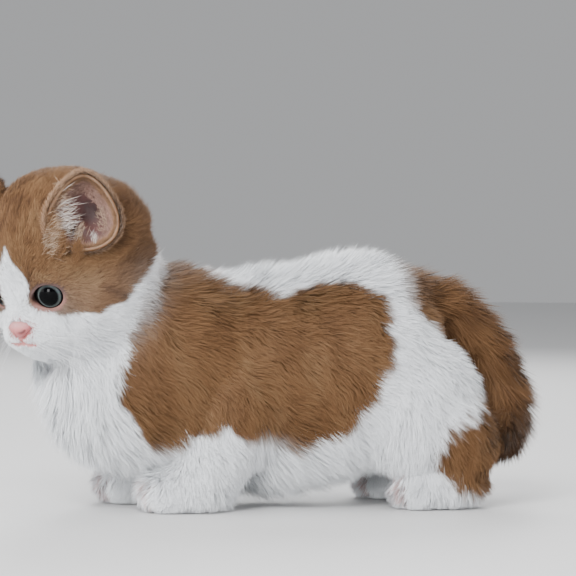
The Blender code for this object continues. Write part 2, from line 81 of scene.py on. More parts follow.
FORE_PAW_X = {"left": -0.046, "right": -0.056}
HIND_PAW_X = {"left": 0.0545, "right": 0.052}
SIDES = {"left": -1, "right": 1}
TOE_RADII = (0.0062, 0.0033, 0.0054)
TOE_STEP = 0.0052

# The head's own axes: forward to the nose, left, and up
HEADING = Vector((-math.cos(HEAD_TURN), -math.sin(HEAD_TURN), 0))
HEAD_LEFT = Vector((math.sin(HEAD_TURN), -math.cos(HEAD_TURN), 0))
HEAD_FORWARD = HEADING * math.cos(HEAD_NOD) - Vector((0, 0, 1)) * math.sin(HEAD_NOD)
HEAD_UP = HEADING * math.sin(HEAD_NOD) + Vector((0, 0, 1)) * math.cos(HEAD_NOD)
HEAD_AXES = np.array([HEAD_FORWARD, HEAD_LEFT, HEAD_UP])
BODY_AXES = np.eye(3)


def on_head(forward, left, up):
    """A point given along the head's axes."""
    return HEAD_CENTRE + HEAD_FORWARD * forward + HEAD_LEFT * left + HEAD_UP * up


def head_places(points):
    """Points along the head's axes, from its centre."""
    return (points - np.array(HEAD_CENTRE)) @ HEAD_AXES.T


# Shapes of the body, as in the part


def ball(centre, radii, axes=BODY_AXES):
    return {"kind": "ball", "centre": np.array(centre), "radii": np.array(radii), "axes": axes}


def limb(start, end, start_radius, end_radius):
    return {"kind": "limb", "a": np.array(start), "b": np.array(end), "ra": start_radius, "rb": end_radius}


def torso_shapes():
    mid = SPINE_HEIGHT
    return [
        ball((-0.070, 0, mid - 0.004), (0.0245, 0.024, 0.031)),
        ball((-0.048, 0, mid - 0.001), (0.034, CHEST_WIDTH / 2, 0.038)),
        ball((-0.008, 0, mid - 0.003), (0.042, CHEST_WIDTH / 2 + 0.001, 0.040)),
        ball((0.027, 0, mid + 0.002), (0.038, HIP_WIDTH / 2, 0.041)),
    ]


def neck_shapes():
    return [limb((-0.056, 0, 0.058), HEAD_CENTRE + Vector((0.006, 0.002, -0.016)), 0.029, 0.024)]


def head_shapes():
    shapes = [
        ball(on_head(-0.002, 0, 0.003), (0.0320, 0.032, 0.031), HEAD_AXES),
        ball(on_head(-0.014, 0, -0.004), (0.021, 0.026, 0.024), HEAD_AXES),
        ball(on_head(0.0225, 0, -0.0105), (0.0090, 0.0085, 0.0100), HEAD_AXES),
        ball(on_head(0.0280, 0, -0.0170), (0.0050, 0.0048, 0.0042), HEAD_AXES),
        ball(on_head(0.0210, 0, -0.0270), (0.0078, 0.0078, 0.0055), HEAD_AXES),
    ]
    for side in (-1, 1):
        shapes.append(ball(on_head(0.006, side * 0.016, -0.0140), (0.018, 0.0165, 0.0155), HEAD_AXES))
        shapes.append(ball(on_head(0.0250, side * 0.0058, -0.0212), (0.0076, 0.0080, 0.0066), HEAD_AXES))
    return shapes


def foreleg_shapes(side, paw_x):
    y = side * STANCE
    return [
        limb((paw_x + 0.020, y, 0.040), (paw_x + 0.005, y, 0.014), 0.0175, 0.0120),
        ball((paw_x - 0.002, y, 0.0085), (0.0155, 0.0115, 0.0090)),
    ]


def hindleg_shapes(side, paw_x):
    y = side * HIND_STANCE
    return [
        ball((paw_x - 0.006, y * 0.86, 0.040), (0.0255, 0.0175, 0.028)),
        limb((paw_x + 0.012, y, 0.012), (paw_x + 0.010, y, 0.030), 0.0105, 0.0140),
        ball((paw_x, y, 0.0090), (0.0160, 0.0115, 0.0092)),
    ]


def toe_shapes(side, paw_x, stance):
    """Four toes, the middle two further forward."""
    shapes = []
    for place in (-1.5, -0.5, 0.5, 1.5):
        forward = 0.0108 - 0.0016 * place ** 2
        centre = (paw_x - forward, side * stance + place * TOE_STEP, 0.0056)
        shapes.append(ball(centre, TOE_RADII))
    return shapes


def smooth_path(points, steps=2):
    """Points along a smooth curve through the given ones."""
    points = np.array(points)
    ends = np.vstack([2 * points[0] - points[1], points, 2 * points[-1] - points[-2]])
    path = []
    for a, b, c, d in zip(ends, ends[1:], ends[2:], ends[3:]):
        for t in np.arange(steps) / steps:
            bend = (2 * a - 5 * b + 4 * c - d) * t * t + (3 * b - a - 3 * c + d) * t ** 3
            path.append((2 * b + (c - a) * t + bend) / 2)
    return np.array(path + [points[-1]])


def tail_shapes():
    path = smooth_path(np.column_stack([TAIL_PATH, TAIL_RADII]))
    return [limb(a[:3], b[:3], a[3] * TAIL_CORE, b[3] * TAIL_CORE) for a, b in zip(path, path[1:])]


def blended_groups():
    """Each group of shapes, with how softly it blends within itself and onto the others."""
    groups = {
        "torso": (torso_shapes(), 0.014, 0.014),
        "neck": (neck_shapes(), 0.010, 0.014),
        "head": (head_shapes(), 0.006, 0.010),
    }
    for name, side in SIDES.items():
        groups["foreleg_" + name] = (foreleg_shapes(side, FORE_PAW_X[name]), 0.006, 0.007)
        groups["hindleg_" + name] = (hindleg_shapes(side, HIND_PAW_X[name]), 0.007, 0.007)
        groups["fore_toes_" + name] = (toe_shapes(side, FORE_PAW_X[name], STANCE), 0.0012, 0.0025)
        groups["hind_toes_" + name] = (toe_shapes(side, HIND_PAW_X[name], HIND_STANCE), 0.0012, 0.0025)
    groups["tail"] = (tail_shapes(), 0.001, 0.006)
    return groups


def distance_to(shape, points):
    """Signed distance of points from one shape, negative inside."""
    if shape["kind"] == "ball":
        local = (points - shape["centre"]) @ shape["axes"].T
        near = np.linalg.norm(local / shape["radii"], axis=1)
        steep = np.linalg.norm(local / shape["radii"] ** 2, axis=1)
        return near * (near - 1) / np.maximum(steep, 1e-9)
    along = shape["b"] - shape["a"]
    share = np.clip((points - shape["a"]) @ along / (along @ along), 0, 1)
    radius = shape["ra"] + (shape["rb"] - shape["ra"]) * share
    return np.linalg.norm(points - shape["a"] - share[:, None] * along, axis=1) - radius


def soft_min(a, b, soft):
    share = np.maximum(soft - np.abs(a - b), 0) / soft
    return np.minimum(a, b) - share * share * soft / 4


GROUPS = blended_groups()
GROUP_NAMES = list(GROUPS)


def group_distances(points):
    """Signed distance of points from each group, one column a group."""
    columns = []
    for shapes, soft, _ in GROUPS.values():
        total = distance_to(shapes[0], points)
        for shape in shapes[1:]:
            total = soft_min(total, distance_to(shape, points), soft)
        columns.append(total)
    return np.stack(columns, axis=1)


def surface_distance(points):
    """Signed distance of points from the whole blended body."""
    columns = group_distances(points)
    total = columns[:, 0]
    for i, (_, _, join) in enumerate(list(GROUPS.values())[1:], start=1):
        total = soft_min(total, columns[:, i], join)
    return total


def surface_slope(points, step=0.0002):
    here = surface_distance(points)
    slope = np.stack([surface_distance(points + step * axis) - here for axis in np.eye(3)], axis=1)
    return slope / np.maximum(np.linalg.norm(slope, axis=1, keepdims=True), 1e-9)


def onto_surface(points, lift=0.0, rounds=3):
    for _ in range(rounds):
        points = points - (surface_distance(points) - lift)[:, None] * surface_slope(points)
    return points


# Small tools


def unit(vectors):
    return vectors / np.maximum(np.linalg.norm(vectors, axis=-1, keepdims=True), 1e-12)


def smoothstep(low, high, x):
    t = np.clip((x - low) / (high - low), 0, 1)
    return t * t * (3 - 2 * t)


def wobble(points, size, seed):
    """Soft noise between about -1 and 1, with features of a given size."""
    random = np.random.default_rng(seed)
    total = np.zeros(len(points))
    for _ in range(7):
        direction = unit(random.normal(size=3)) / size * random.uniform(2.5, 6.0)
        total += np.sin(points @ direction + random.uniform(0, 6.28))
    return total / 3.0


def along_surface(ways, normals):
    """Directions turned into the surface that the normals stand on."""
    return unit(ways - (ways * normals).sum(1)[:, None] * normals)


def by_group(weights):
    return {name: weights[:, i] for i, name in enumerate(GROUP_NAMES)}


def shift_to_frame():
    """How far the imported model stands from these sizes' own origin."""
    low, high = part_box("eye_left")
    middle = (np.array(low) + np.array(high)) / 2
    return middle - np.array(eye_centre(1))


def added(name, data):
    """A new object in the scene."""
    obj = bpy.data.objects.new(name, data)
    bpy.context.scene.collection.objects.link(obj)
    return obj


def mesh_from(name, points, triangles, quads=None):
    """A mesh object made from arrays of points, triangles and quads."""
    quads = np.zeros((0, 4), int) if quads is None else quads
    mesh = bpy.data.meshes.new(name)
    mesh.vertices.add(len(points))
    mesh.vertices.foreach_set("co", (points + SHIFT).astype(np.float32).ravel())
    corners = np.concatenate([quads.ravel(), triangles.ravel()]).astype(np.int32)
    starts = np.concatenate([np.arange(len(quads)) * 4, len(quads) * 4 + np.arange(len(triangles)) * 3])
    mesh.loops.add(len(corners))
    mesh.loops.foreach_set("vertex_index", corners)
    mesh.polygons.add(len(starts))
    mesh.polygons.foreach_set("loop_start", starts.astype(np.int32))
    mesh.update(calc_edges=True)
    mesh.shade_smooth()
    return added(name, mesh)


def painted(obj, colours):
    """Stores one colour a point."""
    layer = obj.data.color_attributes.new("Coat", "FLOAT_COLOR", "POINT")
    rgba = np.ones((len(colours), 4), np.float32)
    rgba[:, :3] = colours
    layer.data.foreach_set("color", rgba.ravel())


def object_arrays(obj):
    """An object's points and triangles."""
    mesh = obj.data
    points = np.empty(len(mesh.vertices) * 3)
    mesh.vertices.foreach_get("co", points)
    mesh.calc_loop_triangles()
    triangles = np.empty(len(mesh.loop_triangles) * 3, np.int32)
    mesh.loop_triangles.foreach_get("vertices", triangles)
    return points.reshape(-1, 3), triangles.reshape(-1, 3)


def applied(obj):
    graph = bpy.context.evaluated_depsgraph_get()
    mesh = bpy.data.meshes.new_from_object(obj.evaluated_get(graph))
    obj.modifiers.clear()
    obj.data = mesh
    return obj


def combined(obj, other, operation):
    modifier = obj.modifiers.new(operation.title(), "BOOLEAN")
    modifier.operation = operation
    modifier.solver = "MANIFOLD"
    modifier.object = other
    applied(obj)
    bpy.data.objects.remove(other)
    return obj


def linked(name, bm):
    mesh = bpy.data.meshes.new(name)
    bm.to_mesh(mesh)
    bm.free()
    return added(name, mesh)


def bridged(bm, near, far):
    """Faces between two rings of vertices."""
    for i in range(len(near)):
        j = (i + 1) % len(near)
        bm.faces.new((near[i], near[j], far[j], far[i]))


# Eyes: their axes and lids


def eye_axes(side):
    """Gaze, the way towards the ear, and up, at one eye."""
    gaze = HEAD_FORWARD * math.cos(EYE_TURN) + HEAD_LEFT * side * math.sin(EYE_TURN)
    up = HEAD_UP
    return gaze, up.cross(gaze) * side, up


def eye_centre(side):
    forward, left, up = EYE_PLACE
    return on_head(forward, side * left, up)


def globe(name, side, radius, segments):
    gaze, outer, up = eye_axes(side)
    turn = Matrix((outer * side, up, gaze)).transposed().to_4x4()
    bm = bmesh.new()
    place = Matrix.Translation(eye_centre(side)) @ turn
    bmesh.ops.create_uvsphere(bm, u_segments=segments, v_segments=segments // 2, radius=radius, matrix=place)
    return linked(name, bm)


def lid_outline(side, corners=48):
    """The edge of the open lids, across the gaze, drawn out to a point at the inner corner."""
    _, outer, up = eye_axes(side)
    half_width, half_height = EYE_OPENING
    outline = []
    for i in range(corners):
        turn = 2 * math.pi * i / corners
        across = half_width * math.cos(turn)
        rise = half_height * math.sin(turn)
        inner = max(0.0, -math.cos(turn)) ** 6
        outline.append(outer * (across - 0.0014 * inner) + up * (rise - 0.0009 * inner))
    return outline


def lid_opening(side, depth=0.016):
    gaze = eye_axes(side)[0]
    outline = lid_outline(side)
    centre = eye_centre(side)
    bm = bmesh.new()
    near = [bm.verts.new(centre + p) for p in outline]
    far = [bm.verts.new(centre + p * 1.15 + gaze * depth) for p in outline]
    bm.faces.new(near)
    bm.faces.new(far)
    bridged(bm, near, far)
    bmesh.ops.recalc_face_normals(bm, faces=bm.faces)
    return linked("lid_opening", bm)


SHIFT = shift_to_frame()

# The coat in each group: the skin's depth under the part's core in metres, the hairs' length and width,
# the degrees that they stand off the skin, and how densely they grow beside the other groups

COAT = {
    "torso": {"depth": 0.0036, "length": 0.0112, "stand": 38, "width": 0.00023, "density": 5.2},
    "neck": {"depth": 0.0032, "length": 0.0115, "stand": 42, "width": 0.00022, "density": 6.0},
    "head": {"depth": 0.0016, "length": 0.0050, "stand": 30, "width": 0.00016, "density": 12.5},
    "foreleg": {"depth": 0.0018, "length": 0.0085, "stand": 42, "width": 0.00020, "density": 7.5},
    "hindleg": {"depth": 0.0022, "length": 0.0092, "stand": 38, "width": 0.00021, "density": 6.0},
    "fore_toes": {"depth": 0.0008, "length": 0.0031, "stand": 26, "width": 0.00015, "density": 13.0},
    "hind_toes": {"depth": 0.0008, "length": 0.0031, "stand": 26, "width": 0.00015, "density": 13.0},
    "tail": {"depth": 0.0024, "length": 0.0180, "stand": 35, "width": 0.00024, "density": 15.0},
}


def kind_of(name):
    """A group's name without its side."""
    return name.replace("_left", "").replace("_right", "")


def group_weights(points, soft=0.0022):
    """How much each point belongs to each group."""
    distances = group_distances(points)
    distances = distances - distances.min(axis=1, keepdims=True)
    weights = np.exp(-distances / soft)
    return weights / weights.sum(axis=1, keepdims=True)


def coat_value(weights, key):
    """One of the coat's sizes, mixed between the groups."""
    return weights @ np.array([COAT[kind_of(name)][key] for name in GROUP_NAMES])


def flow(points, weights):
    """The way the coat lies: back and down the body, down the legs, and forward over the toes."""
    path = smooth_path(TAIL_PATH, 6)
    nearest = np.argmin(np.linalg.norm(points[:, None] - path[None, :-1], axis=2), axis=1)
    tail = unit((path[nearest + 1] - path[nearest]) * (1, 0.3, 1))
    head = unit(points - np.array(on_head(0.036, 0, -0.008)))
    fixed = {
        "torso": (1, 0, -0.80), "neck": (0.62, 0, -0.80), "foreleg": (0.35, 0, -1),
        "hindleg": (0.35, 0, -1), "fore_toes": (-0.8, 0, -0.6), "hind_toes": (-0.8, 0, -0.6),
    }
    total = np.zeros_like(points)
    for i, name in enumerate(GROUP_NAMES):
        lie = {"tail": tail, "head": head}.get(name)
        if lie is None:
            lie = unit(np.array(fixed[kind_of(name)], float))[None]
        total += weights[:, i:i + 1] * lie
    return total


def near_eye(points, side):
    """Distance from an eye's centre."""
    return np.linalg.norm(points - np.array(eye_centre(side)), axis=1)


# Markings: the ginger patch of the body along it and up it, in millimetres, the blaze's edge as height
# and turn from the nose, and the ginger cheek's lower edge as turn and height

PATCH_OUTLINE = [
    (-54, 120), (-52.5, 93.9), (-55.5, 71.2), (-61.0, 56.0), (-63.0, 44.4), (-56.5, 32.8), (-50.6, 23.7),
    (-43.8, 22.2), (-35.1, 28.1), (-19.6, 32.3), (-13.9, 24.2), (5.5, 21.3), (24.9, 29.4), (34.4, 40.3),
    (42.0, 56.0), (43.1, 67.6), (40.8, 83.0), (32.2, 89.5), (16.5, 90.1), (0.8, 85.4), (-18.8, 88.6),
    (-29, 94), (-29, 120),
]
BLAZE = [(-12, 11.5), (-6, 14.4), (-2, 14.8), (3.1, 14.5), (7.4, 11.3), (11.3, 6.5), (15.9, 1.0), (18, -12.0)]
CHEEK = [(0, -9.0), (15, -9.8), (33, -13.7), (56, -15.2), (82, -15.2), (113, -10.7), (150, -6.0), (180, -5.0)]
NAPE_SPOT = (-0.0560, -0.0200, 0.0905)
NAPE_RADIUS = 0.0048
# Nearly straight back along the body as the camera sees it
ALONG_PATCH = (0.966, 0.259)
FAR_PATCH_SHIFT = 0.005


def outline_distance(x, y, outline):
    """Signed distance from a closed outline, positive inside."""
    outline = np.array(outline) / 1000
    best = np.full(len(x), 1.0)
    inside = np.zeros(len(x), bool)
    for (ax, ay), (bx, by) in zip(outline, np.roll(outline, -1, axis=0)):
        dx, dy = bx - ax, by - ay
        t = np.clip(((x - ax) * dx + (y - ay) * dy) / (dx * dx + dy * dy), 0, 1)
        best = np.minimum(best, np.hypot(x - ax - t * dx, y - ay - t * dy))
        crosses = (ay > y) != (by > y)
        inside ^= crosses & (x < (bx - ax) * (y - ay) / (by - ay + 1e-12) + ax)
    return np.where(inside, best, -best)


def body_ginger(points):
    """How far points lie inside the ginger patches of the body."""
    across = ALONG_PATCH[0] * points[:, 0] + ALONG_PATCH[1] * np.abs(points[:, 1])
    across = across + np.where(points[:, 1] > 0, FAR_PATCH_SHIFT, 0.0)
    patch = outline_distance(across, points[:, 2], PATCH_OUTLINE)
    nape = NAPE_RADIUS - np.linalg.norm(points - np.array(NAPE_SPOT), axis=1)
    return np.maximum(patch, nape)


def head_ginger(points):
    """How far points lie inside the ginger of the head."""
    place = head_places(points)
    turn = np.degrees(np.arctan2(np.abs(place[:, 1]), place[:, 0]))
    up = place[:, 2] * 1000
    blaze = np.interp(up, [u for u, _ in BLAZE], [a for _, a in BLAZE])
    cheek = np.interp(turn, [a for a, _ in CHEEK], [u for _, u in CHEEK])
    beside = (turn - blaze) / 57.3 * np.hypot(place[:, 0], place[:, 1])
    return np.minimum(beside, (up - cheek) / 1000)


GINGER = np.array((0.172, 0.085, 0.035))
GINGER_DARK = np.array((0.086, 0.038, 0.014))
GINGER_LIGHT = np.array((0.235, 0.138, 0.066))
WHITE = np.array((0.90, 0.92, 0.945))
WHITE_SHADE = np.array((0.75, 0.765, 0.79))
# Pink of the skin between the toes, darkened as painted shade of the creases
TOE_PINK_AND_SHADE = np.array((0.50, 0.30, 0.28))


def ginger_share(points, weights):
    """From 0, white, to 1, ginger."""
    share = by_group(weights)
    border = wobble(points, 0.006, 11) * 0.0012
    head = smoothstep(-0.0006, 0.0006, head_ginger(points) + border * 0.6)
    body = smoothstep(-0.0010, 0.0010, body_ginger(points) + border)
    rump = smoothstep(0.040, 0.052, points[:, 0])
    reach = 0.0148 + wobble(points, 0.003, 12) * 0.0015 + 0.0075 * smoothstep(0.066, 0.085, points[:, 2])
    root = smoothstep(reach, reach - 0.004, tail_distance(points)) * rump
    total = share["head"] * head + share["tail"]
    total += (share["torso"] + share["neck"]) * np.maximum(body, root)
    for side in SIDES:
        total += share["foreleg_" + side] * body * smoothstep(0.024, 0.030, points[:, 2])
        total += share["hindleg_" + side] * np.maximum(body, root)
    return np.clip(total, 0, 1)


def tail_distance(points):
    return group_distances(points)[:, GROUP_NAMES.index("tail")]


def toe_lines(points):
    """From 0 to 1, how near points are to the lines between the toes."""
    best = np.zeros(len(points))
    for paws, stance in ((FORE_PAW_X, STANCE), (HIND_PAW_X, HIND_STANCE)):
        for name, side in SIDES.items():
            across = points[:, 1] - side * stance
            away = np.abs(across - np.clip(np.round(across / TOE_STEP), -1, 1) * TOE_STEP)
            ahead = smoothstep(-0.0065, -0.0100, points[:, 0] - paws[name])
            ahead = ahead * smoothstep(0.024, 0.018, paws[name] - points[:, 0])
            beside = smoothstep(0.013, 0.011, np.abs(across)) * smoothstep(0.0135, 0.0105, points[:, 2])
            best = np.maximum(best, smoothstep(0.0011, 0.0004, away) * ahead * beside)
    return best


# Soft tabby marks on both sides of the head: two ends and a width, in millimetres along its axes
DARK_MARKS = [
    ((12.5, 1.6, 30.8), (23.6, 4.4, 21.0), 1.5), ((14.0, 6.0, 29.3), (24.3, 10.7, 17.3), 1.5),
    ((11.8, 12.3, 28.4), (18.3, 14.9, 22.2), 2.2), ((-14.2, 25.5, 18.0), (-1.5, 31.9, 6.8), 3.0),
    ((11.1, 31.0, -7.6), (4.5, 33.4, -14.2), 1.8), ((26.5, 9.5, 8.5), (29.0, 8.5, 1.0), 1.3),
    ((18.5, 21.5, -7.0), (12.0, 29.0, -11.0), 1.2), ((-17.0, 28.4, -8.9), (-11.4, 33.8, -19.0), 2.2),
]
LIGHT_MARKS = [((21.0, 21.0, 5.5), (13.7, 28.7, -2.5), 5.0), ((27.0, 13.5, 4.0), (25.5, 17.5, 3.0), 2.0)]


def stroked(place, marks):
    """From 0 to 1, how far places on the head lie within soft strokes."""
    place = place * (1000, 0, 1000) + np.abs(place) * (0, 1000, 0)
    best = np.zeros(len(place))
    for start, end, width in marks:
        start, along = np.array(start), np.array(end) - np.array(start)
        t = np.clip((place - start) @ along / (along @ along), 0, 1)
        away = np.linalg.norm(place - start - t[:, None] * along, axis=1)
        best = np.maximum(best, np.exp(-(away / width) ** 2))
    return best


def coat_colour(points, weights, random):
    """Root colours of the coat at points, with the kitten's faint stripes and painted shade at the back of the
    head.
    """
    share = ginger_share(points, weights)[:, None]
    place = head_places(points)
    head, tail = by_group(weights)["head"], by_group(weights)["tail"]
    marks = (stroked(place, LIGHT_MARKS) * 0.75 - stroked(place, DARK_MARKS) * 1.1) * head
    bands = np.sin(points[:, 0] * 1000 / 2.1 + wobble(points, 0.03, 6) * 1.5) * (1 - head) * 0.10
    # Painted shade: the back of the head is darkened
    back_of_head_shade = smoothstep(0.0, -0.020, place[:, 0]) * head
    marks = marks - 0.35 * tail - 0.45 * back_of_head_shade
    shade = wobble(points, 0.012, 3) * 0.28 + marks + bands + random.normal(0, 0.25, len(points))
    shade = shade[:, None]
    ginger = GINGER + np.clip(shade, 0, 1) * (GINGER_LIGHT - GINGER)
    ginger += np.clip(-shade, 0, 1) * (GINGER_DARK - GINGER)
    white = WHITE + np.clip(-shade * 0.6, 0, 1) * (WHITE_SHADE - WHITE)
    colour = white * (1 - share) + ginger * share
    # The lines between the toes: pink skin, darkened as painted shade of the creases
    return colour + (TOE_PINK_AND_SHADE - colour) * 0.75 * toe_lines(points)[:, None]


# The skin under the coat

SKIN_VOXEL = 0.00125
NOSE_PLACE = (0.0316, 0.0, -0.0166)
MUZZLE_PLACE = (0.0270, 0.0, -0.0200)
MOUTH_LINE = [(0.0002, -0.0218), (0.0024, -0.0227), (0.0046, -0.0229), (0.0064, -0.0224)]
PHILTRUM = [(0.0001, -0.0188), (0.0001, -0.0222)]


def rough_body():
    """Overlapping balls in one object, fused by a voxel remesh."""
    sphere = globe("ball", 1, 1.0, 32)
    around, faces = object_arrays(sphere)
    bpy.data.objects.remove(sphere)
    around = around - np.array(eye_centre(1))
    balls = []
    for shape in (shape for shapes, _, _ in GROUPS.values() for shape in shapes):
        if shape["kind"] == "ball":
            balls.append(shape["centre"] + around * shape["radii"] @ shape["axes"])
            continue
        for share in np.linspace(0, 1, 9):
            centre = shape["a"] * (1 - share) + shape["b"] * share
            balls.append(centre + around * (shape["ra"] * (1 - share) + shape["rb"] * share))
    triangles = np.concatenate([faces + i * len(around) for i in range(len(balls))])
    obj = mesh_from("skin", np.concatenate(balls) - SHIFT, triangles)
    remesh = obj.modifiers.new("Fuse", "REMESH")
    remesh.mode = "VOXEL"
    remesh.voxel_size = SKIN_VOXEL
    return applied(obj)


def muzzle_distance(points):
    return np.linalg.norm(points - np.array(on_head(*MUZZLE_PLACE)), axis=1)


def skin_depth(points):
    """How deep the skin lies under the part's core: least on the face and paws."""
    weights = group_weights(points, 0.004)
    depth = coat_value(weights, "depth")
    face = smoothstep(0.010, 0.022, muzzle_distance(points))
    for side in (-1, 1):
        face = face * smoothstep(0.0088, 0.0150, near_eye(points, side))
    head = by_group(weights)["head"]
    return depth * (1 - head) + (0.0004 + (depth - 0.0004) * face) * head


def line_distance(points, line):
    """Distance of points from a line on the face, given across and up the head, on both sides."""
    place = head_places(points)
    across = np.abs(place[:, 1])
    best = np.full(len(points), 1.0)
    for (al, au), (bl, bu) in zip(line, line[1:]):
        dl, du = bl - al, bu - au
        t = np.clip(((across - al) * dl + (place[:, 2] - au) * du) / (dl * dl + du * du), 0, 1)
        best = np.minimum(best, np.hypot(across - al - t * dl, place[:, 2] - au - t * du))
    return np.where(place[:, 0] > 0.018, best, 1.0)


def grooved(points):
    """The lips drawn in along the mouth and under the nose."""
    inwards = unit(np.array(on_head(0.006, 0, -0.018)) - points)
    mouth = np.exp(-(line_distance(points, MOUTH_LINE) / 0.0007) ** 2) * 0.0012
    middle = np.exp(-(line_distance(points, PHILTRUM) / 0.0006) ** 2) * 0.0006
    bed = smoothstep(1.15, 0.75, nose_nearness(points)) * 0.0018
    return points + inwards * np.maximum(np.maximum(mouth, middle), bed)[:, None]


def finer_face(obj):
    """More faces round the mouth and eyes."""
    bm = bmesh.new()
    bm.from_mesh(obj.data)
    centres = [on_head(*MUZZLE_PLACE), eye_centre(1), eye_centre(-1)]
    edges = [e for e in bm.edges if min((e.verts[0].co - c).length for c in centres) < 0.0125]
    bmesh.ops.subdivide_edges(bm, edges=edges, cuts=1, use_grid_fill=True)
    bmesh.ops.triangulate(bm, faces=bm.faces)
    bm.to_mesh(obj.data)
    bm.free()


def set_points(obj, points):
    obj.data.vertices.foreach_set("co", points.astype(np.float32).ravel())
    obj.data.update()


def ordered(points, triangles):
    """The same points and triangles, in an order that each run of the booleans and cuts agrees on."""
    order = np.lexsort(points.T)
    rank = np.empty(len(points), int)
    rank[order] = np.arange(len(points))
    triangles = rank[triangles]
    lowest = triangles.argmin(axis=1)[:, None]
    triangles = np.take_along_axis(triangles, (lowest + np.arange(3)) % 3, axis=1)
    return points[order], triangles[np.lexsort(triangles.T)]


def make_skin():
    """Points and triangles of one skin, with lids round the eyes and room for the ears."""
    skin = rough_body()
    finer_face(skin)
    points, _ = object_arrays(skin)
    points = onto_surface(points, -skin_depth(points))
    points = grooved(points)
    points[:, 2] = np.maximum(points[:, 2], 0.0002)
    set_points(skin, points)
    for side in (-1, 1):
        combined(skin, globe("lids", side, EYE_RADIUS + LID, 72), "UNION")
        combined(skin, globe("socket", side, EYE_RADIUS + 0.00003, 72), "DIFFERENCE")
        combined(skin, lid_opening(side), "DIFFERENCE")
        combined(skin, ear_seat(side), "DIFFERENCE")
    points, triangles = object_arrays(skin)
    bpy.data.objects.remove(skin)
    return ordered(points, triangles)


# Ears


def ear_axes(side):
    """Out of the cup, across it to the back of the head, and up to its tip."""
    out = (HEAD_FORWARD * 0.58 + HEAD_LEFT * side * 0.76 + HEAD_UP * 0.26).normalized()
    up = HEAD_UP - HEAD_FORWARD * 0.36 + HEAD_LEFT * side * 0.10
    up = (up - out * up.dot(out)).normalized()
    return out, up.cross(out) * side, up


def ear_centre(side):
    forward, left, up = EAR_PLACE
    return on_head(forward, side * left, up)


def ear_ring(side, share, grow, count):
    """Points round the cup at a share of its depth, from 0 at the rim to nearly 1 at the bottom."""
    out, back, up = ear_axes(side)
    centre = ear_centre(side)
    turn = share * math.pi / 2
    points = []
    for i in range(count):
        angle = 2 * math.pi * i / count
        narrow = 1 - EAR_TAPER * math.sin(angle)
        across = (EAR_WIDTH / 2 * narrow + grow) * math.cos(angle) * math.cos(turn)
        rise = (EAR_HEIGHT / 2 + grow) * math.sin(angle) * math.cos(turn) - EAR_SAG * math.sin(turn)
        deep = (EAR_DEPTH + grow) * math.sin(turn)
        roll = 0.0025 * math.cos(angle) ** 2 * math.cos(turn)
        points.append(centre + back * across + up * rise - out * (deep - roll))
    return points


def ear_bottom(side, grow):
    out, _, up = ear_axes(side)
    return ear_centre(side) - out * (EAR_DEPTH + grow) - up * EAR_SAG


def ring_faces(count, rows):
    """Quads between rings and triangles to the two tips, which come after them, as two arrays."""
    i = np.arange(count)
    j = (i + 1) % count
    quads = [np.stack([r * count + i, r * count + j, (r + 1) * count + j, (r + 1) * count + i], 1)
             for r in range(rows - 1)]
    last = (rows - 1) * count
    first_fan = np.stack([j, i, np.full(count, rows * count)], 1)
    last_fan = np.stack([last + i, last + j, np.full(count, rows * count + 1)], 1)
    return np.concatenate(quads), np.concatenate([first_fan, last_fan])


def ear_seat(side, open_out=0.006):
    """What an ear takes out of the skin: its outer form, opened outwards."""
    out = ear_axes(side)[0]
    grow = EAR_WALL * 0.5
    count = 48
    rings = [ear_ring(side, share, grow, count) for share in (0.9, 0.75, 0.6, 0.45, 0.3, 0.15, 0.0)]
    rings.append([p + out * open_out for p in rings[-1]])
    bm = bmesh.new()
    rows = [[bm.verts.new(p) for p in ring] for ring in rings]
    bottom = bm.verts.new(ear_bottom(side, grow))
    for near, far in zip(rows, rows[1:]):
        bridged(bm, near, far)
    for i in range(count):
        bm.faces.new((bottom, rows[0][i], rows[0][(i + 1) % count]))
    bm.faces.new(rows[-1])
    bmesh.ops.recalc_face_normals(bm, faces=bm.faces)
    return linked("ear_seat", bm)


def ear_places(points, side):
    """Points across, up and out of an ear's cup, from its middle."""
    out, back, up = ear_axes(side)
    away = points - np.array(ear_centre(side))
    return np.stack([away @ np.array(back), away @ np.array(up), away @ np.array(out)], axis=1)


def ear_nearness(points, side):
    """1 on the cup's rim and outer side, less inside and more outside."""
    place = ear_places(points, side)
    angle = np.arctan2(place[:, 1], place[:, 0])
    width = EAR_WIDTH / 2 * (1 - EAR_TAPER * np.sin(angle)) + EAR_WALL
    flat = np.hypot(place[:, 0] / width, place[:, 1] / (EAR_HEIGHT / 2 + EAR_WALL))
    deep = np.minimum(place[:, 2], 0) / (EAR_DEPTH + EAR_WALL)
    return np.hypot(flat, deep)


def ear_colours(points, side, inner):
    """Pink inside, darker deeper in the cup and dark in two hollows as painted shade, pale at the rim, ginger
    outside.
    """
    place = ear_places(points, side)
    x, y = place[:, 0] * 1000, place[:, 1] * 1000
    deep = np.clip(-place[:, 2] * 1000 / 9, 0, 1)
    # Painted shade: the pink darkens from pale to flesh deeper in the cup, and turns dark in two hollows
    pale = np.array((0.27, 0.150, 0.125))
    flesh = np.array((0.125, 0.040, 0.034))
    dark = np.array((0.030, 0.0065, 0.0055))
    upper = np.exp(-(((x - 4.0) / 4.4) ** 2 + ((y - 1.5) / 5.6) ** 2))
    lower = np.exp(-(((x + 2.5) / 4.2) ** 2 + ((y + 6.5) / 2.4) ** 2))
    hollow_shade = np.clip(np.maximum(upper, lower * 0.9) * 1.35 * smoothstep(0.08, 0.40, deep), 0, 1)[:, None]
    colour = pale + (flesh - pale) * smoothstep(0.15, 0.75, deep)[:, None]
    colour = colour + (dark - colour) * hollow_shade
    colour = colour + (GINGER * 1.3 + 0.03 - colour) * smoothstep(0.16, 0.04, deep)[:, None]
    colour = colour * (1 + 0.12 * wobble(points, 0.0025, 21))[:, None]
    outside = GINGER * 0.8 * np.ones((len(points), 3))
    return np.where(inner[:, None], colour, outside)


